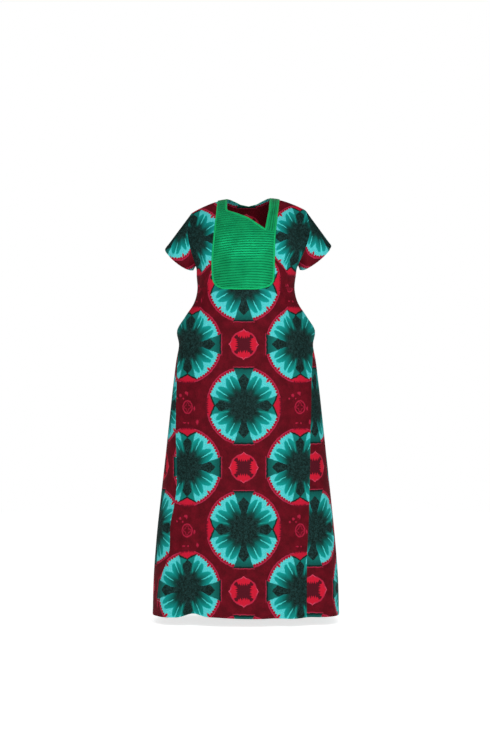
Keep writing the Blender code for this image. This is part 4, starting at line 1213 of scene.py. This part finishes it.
def spaced(path, pitch):
    """The closed path with points about a pitch apart, its corners kept."""
    points = []
    for start, end in zip(path, np.roll(path, -1, axis=0)):
        count = max(1, round(float(np.linalg.norm(end - start)) / pitch))
        points.extend(start + (end - start) * k / count for k in range(count))
    return np.array(points)


def rounded(path, pitch):
    length = lengths_along(path)
    at = np.linspace(0.0, length[-1], round(length[-1] / pitch) + 1)
    return np.stack([smooth(length, path[:, k], at) for k in range(2)], axis=-1)


def beside(path, distance, closed=False):
    """The path moved to its left by a distance, with short corners."""
    before = path - np.roll(path, 1, axis=0)
    after = np.roll(path, -1, axis=0) - path
    if not closed:
        before[0] = after[0]
        after[-1] = before[-1]
    ways = []
    for edge in (before, after):
        way = unit(edge)
        ways.append(np.stack([-way[:, 1], way[:, 0]], axis=-1))
    total = ways[0] + ways[1]
    spread = np.maximum((total**2).sum(axis=1, keepdims=True) / 2, 0.9)
    return path + distance * total / spread


def crossing(path, along):
    """Where a path crosses this distance down the cloth, leftmost and rightmost."""
    start, end = path[:-1], path[1:]
    hit = ((start[:, 1] - along) * (end[:, 1] - along) <= 0) & (start[:, 1] != end[:, 1])
    start, end = start[hit], end[hit]
    found = start[:, 0] + (end[:, 0] - start[:, 0]) * (along - start[:, 1]) / (end[:, 1] - start[:, 1])
    return float(found.min()), float(found.max())


def applied(name, node, across, along, height, material, slot, closed=False, keep=None, cloth=None):
    """A piece that lies on the robe, from chart places and its height above the cloth under it."""
    rows, columns = across.shape
    faces, places = quads(across, closed)
    if cloth is None:
        cloth = np.stack([across, along], axis=-1)
    if closed:
        run = lengths_along(np.stack([across[0], along[0]], axis=-1))
        run = np.append(run, run[-1] + 0.01)
        over = np.repeat(np.arange(rows)[:, None] * 0.001, columns + 1, axis=1)
        cloth = np.stack([np.tile(run, (rows, 1)), over], axis=-1)
    if keep is not None:
        kept = keep(faces[:, 0] // columns, faces[:, 0] % columns)
        faces, places = faces[kept], places[kept]
    base = chart_point(across, along)
    lifted = base + chart_normals(across, along) * (LAYER_GAP + height)[..., None]
    thin = np.minimum(-(height.ravel() + LAYER_GAP * 0.5), -0.0004)
    skins = (np.maximum(thin, -0.0016), 0.0)
    piece = shell(name, lifted, faces, cloth, places, material, skins, CHEST)
    join_to_frame(piece, node)


def strip(name, node, inner, outer, closed=False):
    """A binding between two edges: rolled over at both and a little higher along its middle."""
    shares = np.array([0.0, 0.04, 0.12, 0.28, 0.5, 0.72, 0.88, 0.96, 1.0])[:, None]
    heights = np.array([0.0003, 0.0010, 0.0015, 0.0018, 0.0020, 0.0018, 0.0015, 0.0010, 0.0003])[:, None]
    across = inner[:, 0] + (outer[:, 0] - inner[:, 0]) * shares
    along = inner[:, 1] + (outer[:, 1] - inner[:, 1]) * shares
    pucker = 0.00012 * np.sin(np.arange(across.shape[1]) * 1.9)
    height = heights + pucker + 0 * across
    applied(name, node, across, along, height, binding_satin, "binding_cloth", closed)


outline = rounded(chart_path(BIB_OUTLINE), 0.004)
strip("bib_edge_binding", "bib_binding", outline, beside(outline, -BIB_BINDING))
back_shares, back_ways = back_columns()
inner_back = slice(LEFT_COLUMNS + 1, LEFT_COLUMNS + BACK_NECK_COLUMNS)
back_along = -np.interp(back_ways[0, inner_back], CHART_WAYS, CHART[BACK])
back_neck = np.stack([back_shares[0, inner_back] * SHOULDER_POINT, back_along], axis=-1)[::-1]
neck = spaced(np.concatenate([chart_path(NECKLINE), back_neck]), 0.004)
outer_neck = beside(neck, NECK_BINDING, closed=True)
strip("neck_edge_binding", "neck_binding", neck, outer_neck, closed=True)

fit_outline = beside(outline, -BIB_BINDING + UNDER_BINDING)
fit_neck = beside(neck, NECK_BINDING - UNDER_BINDING, closed=True)
lowest = int(np.argmax(fit_neck[:, 1]))
neck_left, neck_right = fit_neck[: lowest + 1], fit_neck[lowest : lowest + 60]
notch_across, notch_along = fit_neck[lowest]
BIB_TOP = 0.0030
bib_bottom = float(fit_outline[:, 1].max()) - 0.0012
tucks = int((bib_bottom - BIB_TOP) / TUCK_PITCH)
turns = (np.arange(tucks)[:, None] + TUCK_SHARES).ravel()
alongs = bib_bottom - TUCK_PITCH * turns
heights = np.tile(TUCK_HEIGHTS, tucks)
split = int(np.argmax(alongs < notch_along)) - 1
across = np.zeros((len(alongs), BIB_COLUMNS + 1))
even_shares = np.concatenate([[0.0], np.linspace(EDGE_SHARE, 1 - EDGE_SHARE, BIB_COLUMNS - 1), [1.0]])
left_shares = np.concatenate([[0.0], np.linspace(EDGE_SHARE * 1.4, 1.0, BIB_LEFT_COLUMNS)])
right_shares = np.linspace(0.0, 1 - EDGE_SHARE * 3, BIB_COLUMNS - BIB_LEFT_COLUMNS)[1:]
right_shares = np.concatenate([right_shares, [1.0]])
for r, along in enumerate(alongs):
    left, right = crossing(fit_outline, along)
    if r <= split:
        to_notch = left + (notch_across - left) * left_shares
        bent = np.concatenate([to_notch, notch_across + (right - notch_across) * right_shares])
        even = left + (right - left) * even_shares
        across[r] = even + (bent - even) * step(r, split - 64, split)
    else:
        end = crossing(neck_left, along)[0]
        across[r, : BIB_LEFT_COLUMNS + 1] = left + (end - left) * left_shares
        across[r, BIB_LEFT_COLUMNS:] = end
centre = np.linspace(-1.0, 1.0, BIB_COLUMNS + 1)[None, :]
along_grid = np.repeat(alongs[:, None], BIB_COLUMNS + 1, axis=1)
sway = 0.0022 * centre + 0.0007 * np.sin(centre * 5 + alongs[:, None] * 40)
near_bottom = step(bib_bottom - alongs, 0.004, 0.020) * (np.arange(len(alongs)) < split - 2)
below_notch = step(alongs[:, None], notch_along + 0.004, notch_along + 0.05)
fade = (1 - np.abs(centre) ** 6) * near_bottom[:, None] * below_notch
along_grid = along_grid - sway * fade
height = BIB_CLOTH + heights[:, None] + 0 * across
height[:, 0] = EDGE_HEIGHT
height[:, -1] = EDGE_HEIGHT
height[0] = EDGE_HEIGHT
height[split + 1 :, BIB_LEFT_COLUMNS] = EDGE_HEIGHT
bib_cloth = np.stack([across, np.repeat(-TUCK_PITCH * turns[:, None], BIB_COLUMNS + 1, axis=1)], axis=-1)
bib = ("tucked_bib", "bib", across, along_grid, height, bib_satin, "bib_cloth")
applied(*bib, keep=lambda r, c: (r < split) | (c < BIB_LEFT_COLUMNS), cloth=bib_cloth)

strap_alongs = np.linspace(BIB_TOP, float(alongs[split]) - SEAM_GAP, 48)
strap_columns = 3 * RIB_PITCH_COLUMNS
across = np.zeros((len(strap_alongs), strap_columns + 1))
for r, along in enumerate(strap_alongs):
    left = crossing(neck_right, along)[1] if along < notch_along else notch_across
    across[r] = np.linspace(left, crossing(fit_outline, along)[1], strap_columns + 1)
ribs = 0.0012 * np.abs(np.sin(np.pi * np.arange(strap_columns + 1) / RIB_PITCH_COLUMNS)) ** 0.5
along_grid = np.repeat(strap_alongs[:, None], strap_columns + 1, axis=1)
height = BIB_CLOTH + ribs[None, :] + 0 * across
height[:, 0] = EDGE_HEIGHT
height[:, -1] = EDGE_HEIGHT
rib_places = -TUCK_PITCH * np.arange(strap_columns + 1) / RIB_PITCH_COLUMNS
strap_cloth = np.stack([along_grid, np.repeat(rib_places[None, :], len(strap_alongs), axis=0)], axis=-1)
strap = ("bib_strap_cloth", "bib_strap", across, along_grid, height, bib_satin, "bib_cloth")
applied(*strap, cloth=strap_cloth)

# %% [markdown]
# Hems are topstitched all round. A stitch is a short bead of thread that dives into the cloth at both
# ends. It is made once and set on points along the stitch lines, turned to the line and to the cloth.

# %% Stitches
STITCH_PITCH = 0.0030
STITCH_LENGTH = 0.0023
THREAD_WIDTH = 0.00045
HEM_ROWS = (-4, -6)


def stitch_group():
    tree = bpy.data.node_groups.new("stitches", "GeometryNodeTree")
    add_sockets(tree, ("Geometry", "INPUT", "Geometry"), ("Stitch length", "INPUT", "Float"))
    add_sockets(tree, ("Thread width", "INPUT", "Float"), ("Thread", "INPUT", "Material"))
    add_sockets(tree, ("Geometry", "OUTPUT", "Geometry"))
    given = tree.nodes.new("NodeGroupInput").outputs
    wide = given["Thread width"]
    ball = put(tree, "GeometryNodeMeshUVSphere", {"Segments": 6, "Rings": 4, "Radius": 0.5})
    size = put(tree, "ShaderNodeCombineXYZ", {0: given["Stitch length"], 1: wide, 2: wide})
    turned = {}
    for attribute, axis in (("along", "X"), ("up", "Z")):
        read_in = put(tree, "GeometryNodeInputNamedAttribute", {"Name": attribute})
        read_in.data_type = "FLOAT_VECTOR"
        turn = put(tree, "FunctionNodeAlignRotationToVector", turned)
        tree.links.new(read_in.outputs[0], turn.inputs["Vector"])
        turn.axis = axis
        if turned:
            turn.pivot_axis = "X"
        turned = {"Rotation": turn.outputs[0]}
    points = {"Points": given["Geometry"], "Instance": ball.outputs["Mesh"], "Scale": size.outputs[0]}
    place = put(tree, "GeometryNodeInstanceOnPoints", points | turned)
    real = put(tree, "GeometryNodeRealizeInstances", {0: place.outputs[0]})
    smooth = put(tree, "GeometryNodeSetShadeSmooth", {0: real.outputs[0]})
    cover = {"Geometry": smooth.outputs[0], "Material": given["Thread"]}
    finish = put(tree, "GeometryNodeSetMaterial", cover)
    put(tree, "NodeGroupOutput", {0: finish.outputs[0]})
    return tree


stitches_tree = stitch_group()


def stitch_line(line, normals, lift):
    """Points, directions and normals of the stitches along a line."""
    length = lengths_along(line)
    at = np.arange(STITCH_PITCH / 2, length[-1], STITCH_PITCH)
    points = read_off(at, length, line)
    up = unit(read_off(at, length, normals))
    return points + up * lift, unit(np.gradient(points, axis=0)), up


def stitched(name, lines, thread):
    """One piece of thread that goes with the sheet of this name, as a stitch on every point of the lines."""
    node, name = name, name + "_stitches"
    points, along, up = (np.concatenate(parts) for parts in zip(*lines))
    mesh = bpy.data.meshes.new(name)
    mesh.from_pydata(points.tolist(), [], [])
    for attribute, values in (("along", along), ("up", up)):
        layer = mesh.attributes.new(attribute, "FLOAT_VECTOR", "POINT")
        layer.data.foreach_set("vector", values.astype(np.float32).ravel())
    seeds = bpy.data.objects.new(name + "_points", mesh)
    bpy.context.scene.collection.objects.link(seeds)
    modifier = seeds.modifiers.new("stitches", "NODES")
    modifier.node_group = stitches_tree
    wanted = {"Stitch length": STITCH_LENGTH, "Thread width": THREAD_WIDTH, "Thread": thread}
    for item in stitches_tree.interface.items_tree:
        if item.in_out == "INPUT" and item.name in wanted:
            modifier[item.identifier] = wanted[item.name]
    graph = bpy.context.evaluated_depsgraph_get()
    made = bpy.data.meshes.new_from_object(seeds.evaluated_get(graph))
    made.name = name
    bpy.data.objects.remove(seeds)
    piece = bpy.data.objects.new(name, made)
    bpy.context.scene.collection.objects.link(piece)
    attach(piece, "root")
    print(name, len(points), "stitches,", len(made.polygons), "faces")


def line_normals(grid, row):
    """Outward normals of a grid along one of its rows."""
    return unit(np.cross(grid[row] - grid[row - 1], np.gradient(grid[row], axis=0)), TINY)


panel_names = ("front_panel", "back_panel", "side_panel_left", "side_panel_right")
for name, grid in zip(panel_names, (front_grid, back_grid, gores[-1], gores[1])):
    lines = []
    for row in HEM_ROWS:
        normals = line_normals(grid, row)
        outward = np.sign((normals * (grid[row] - AXIS) * [1, 1, 0]).sum())
        lines.append(stitch_line(grid[row], normals * outward, 0.0001 + 0.0002))
    stitched(name + "_hem", lines, hem_thread)
for side, word in ((-1, "left"), (1, "right")):
    grid = sleeves[side]
    ring = np.concatenate([grid[-4], grid[-4][:1]])
    normals = ring - grid[-4].mean(axis=0)
    along = np.gradient(ring, axis=0)
    axis = grid[-1].mean(axis=0) - grid[-8].mean(axis=0)
    cross = np.cross(along, axis)
    cross = unit(cross * np.sign((cross * normals).sum(axis=1, keepdims=True)))
    stitched("sleeve_" + word + "_hem", [stitch_line(ring, cross, 0.0001)], hem_thread)


def chart_stitches(path, lift, closed=False):
    if closed:
        path = np.concatenate([path, path[:1]])
    length = lengths_along(path)
    at = np.linspace(0.0, length[-1], round(length[-1] / 0.0015))
    across, along = read_off(at, length, path).T
    return stitch_line(chart_point(across, along), chart_normals(across, along), LAYER_GAP + lift)


bib_line = chart_stitches(beside(outline, -BIB_BINDING + 0.0012), 0.0014)
stitched("bib_binding", [bib_line], green_thread)
neck_line = chart_stitches(beside(neck, NECK_BINDING - 0.0012, closed=True), 0.0014, closed=True)
stitched("neck_binding", [neck_line], green_thread)

# %% [markdown]
# Cloth is cut flat before it is sewn. A cut is described by its width, length and area, what holds it
# and what it rests on. A bib's cut is longer than the finished bib, because each pin-tuck takes up
# cloth.

# %% The cuts
Cut = namedtuple("Cut", "width length area held rests_on")


# %% [markdown]
# The picture was taken from far off at about the height of the hip, on white with soft light from the
# front. A large soft light in front lights the whole robe, and a wide low strip of light above it gives
# the bust its broad highlight.

# %% Floor, camera and light
floor_mesh = bpy.data.meshes.new("floor")
floor_mesh.from_pydata([(-6, -6, 0), (6, -6, 0), (6, 6, 0), (-6, 6, 0)], [], [(0, 1, 2, 3)])
floor = bpy.data.objects.new("floor", floor_mesh)
floor.location.z = -1.475
bpy.context.scene.collection.objects.link(floor)
white = (1.0, 1.0, 1.0, 1.0)
pale = {"Base Color": (0.93, 0.93, 0.93, 1.0), "Roughness": 0.9}
glow = {"Emission Color": white, "Emission Strength": 0.72}
floor_mesh.materials.append(plain_material("pale floor", pale | glow)[0])

scene = bpy.context.scene
world = bpy.data.worlds.new("white room")
scene.world = world
world.use_nodes = True
backdrop = world.node_tree.nodes["Background"]
fill(backdrop, {"Color": white})
seen = world.node_tree.nodes.new("ShaderNodeLightPath")
strength = world.node_tree.nodes.new("ShaderNodeMapRange")
fill(strength, {"To Min": 0.29, "To Max": 1.0})
world.node_tree.links.new(seen.outputs["Is Camera Ray"], strength.inputs["Value"])
world.node_tree.links.new(strength.outputs["Result"], backdrop.inputs["Strength"])
scene.view_settings.view_transform = "Standard"

CAMERA_BACK = 8.0
CAMERA_HEIGHT = -0.588
camera_data = bpy.data.cameras.new("camera")
camera_data.sensor_fit = "VERTICAL"
camera_data.sensor_height = 24.0
camera_data.lens = 74.64
camera = bpy.data.objects.new("camera", camera_data)
camera.location = (-0.0035, -CAMERA_BACK, CAMERA_HEIGHT)
camera.rotation_euler = (math.pi / 2, 0.0, 0.0)
scene.collection.objects.link(camera)
scene.camera = camera


def soft_light(name, place, aim, size, power):
    data = bpy.data.lights.new(name, "AREA")
    data.shape = "RECTANGLE"
    data.size, data.size_y = size
    data.energy = power
    lamp = bpy.data.objects.new(name, data)
    scene.collection.objects.link(lamp)
    place, aim = np.array(place), np.array(aim)
    way = aim - place
    tilt = math.acos(-way[2] / np.linalg.norm(way))
    lamp.location = place
    lamp.rotation_euler = (tilt, 0.0, math.atan2(way[1], way[0]) - math.pi / 2)


soft_light("front light", (1.0, -5.0, -0.3), (0.0, 0.0, -0.7), (2.4, 2.4), 46)
soft_light("high strip", (0.1, -3.4, 1.65), (0.0, 0.0, -0.25), (3.2, 0.30), 76)
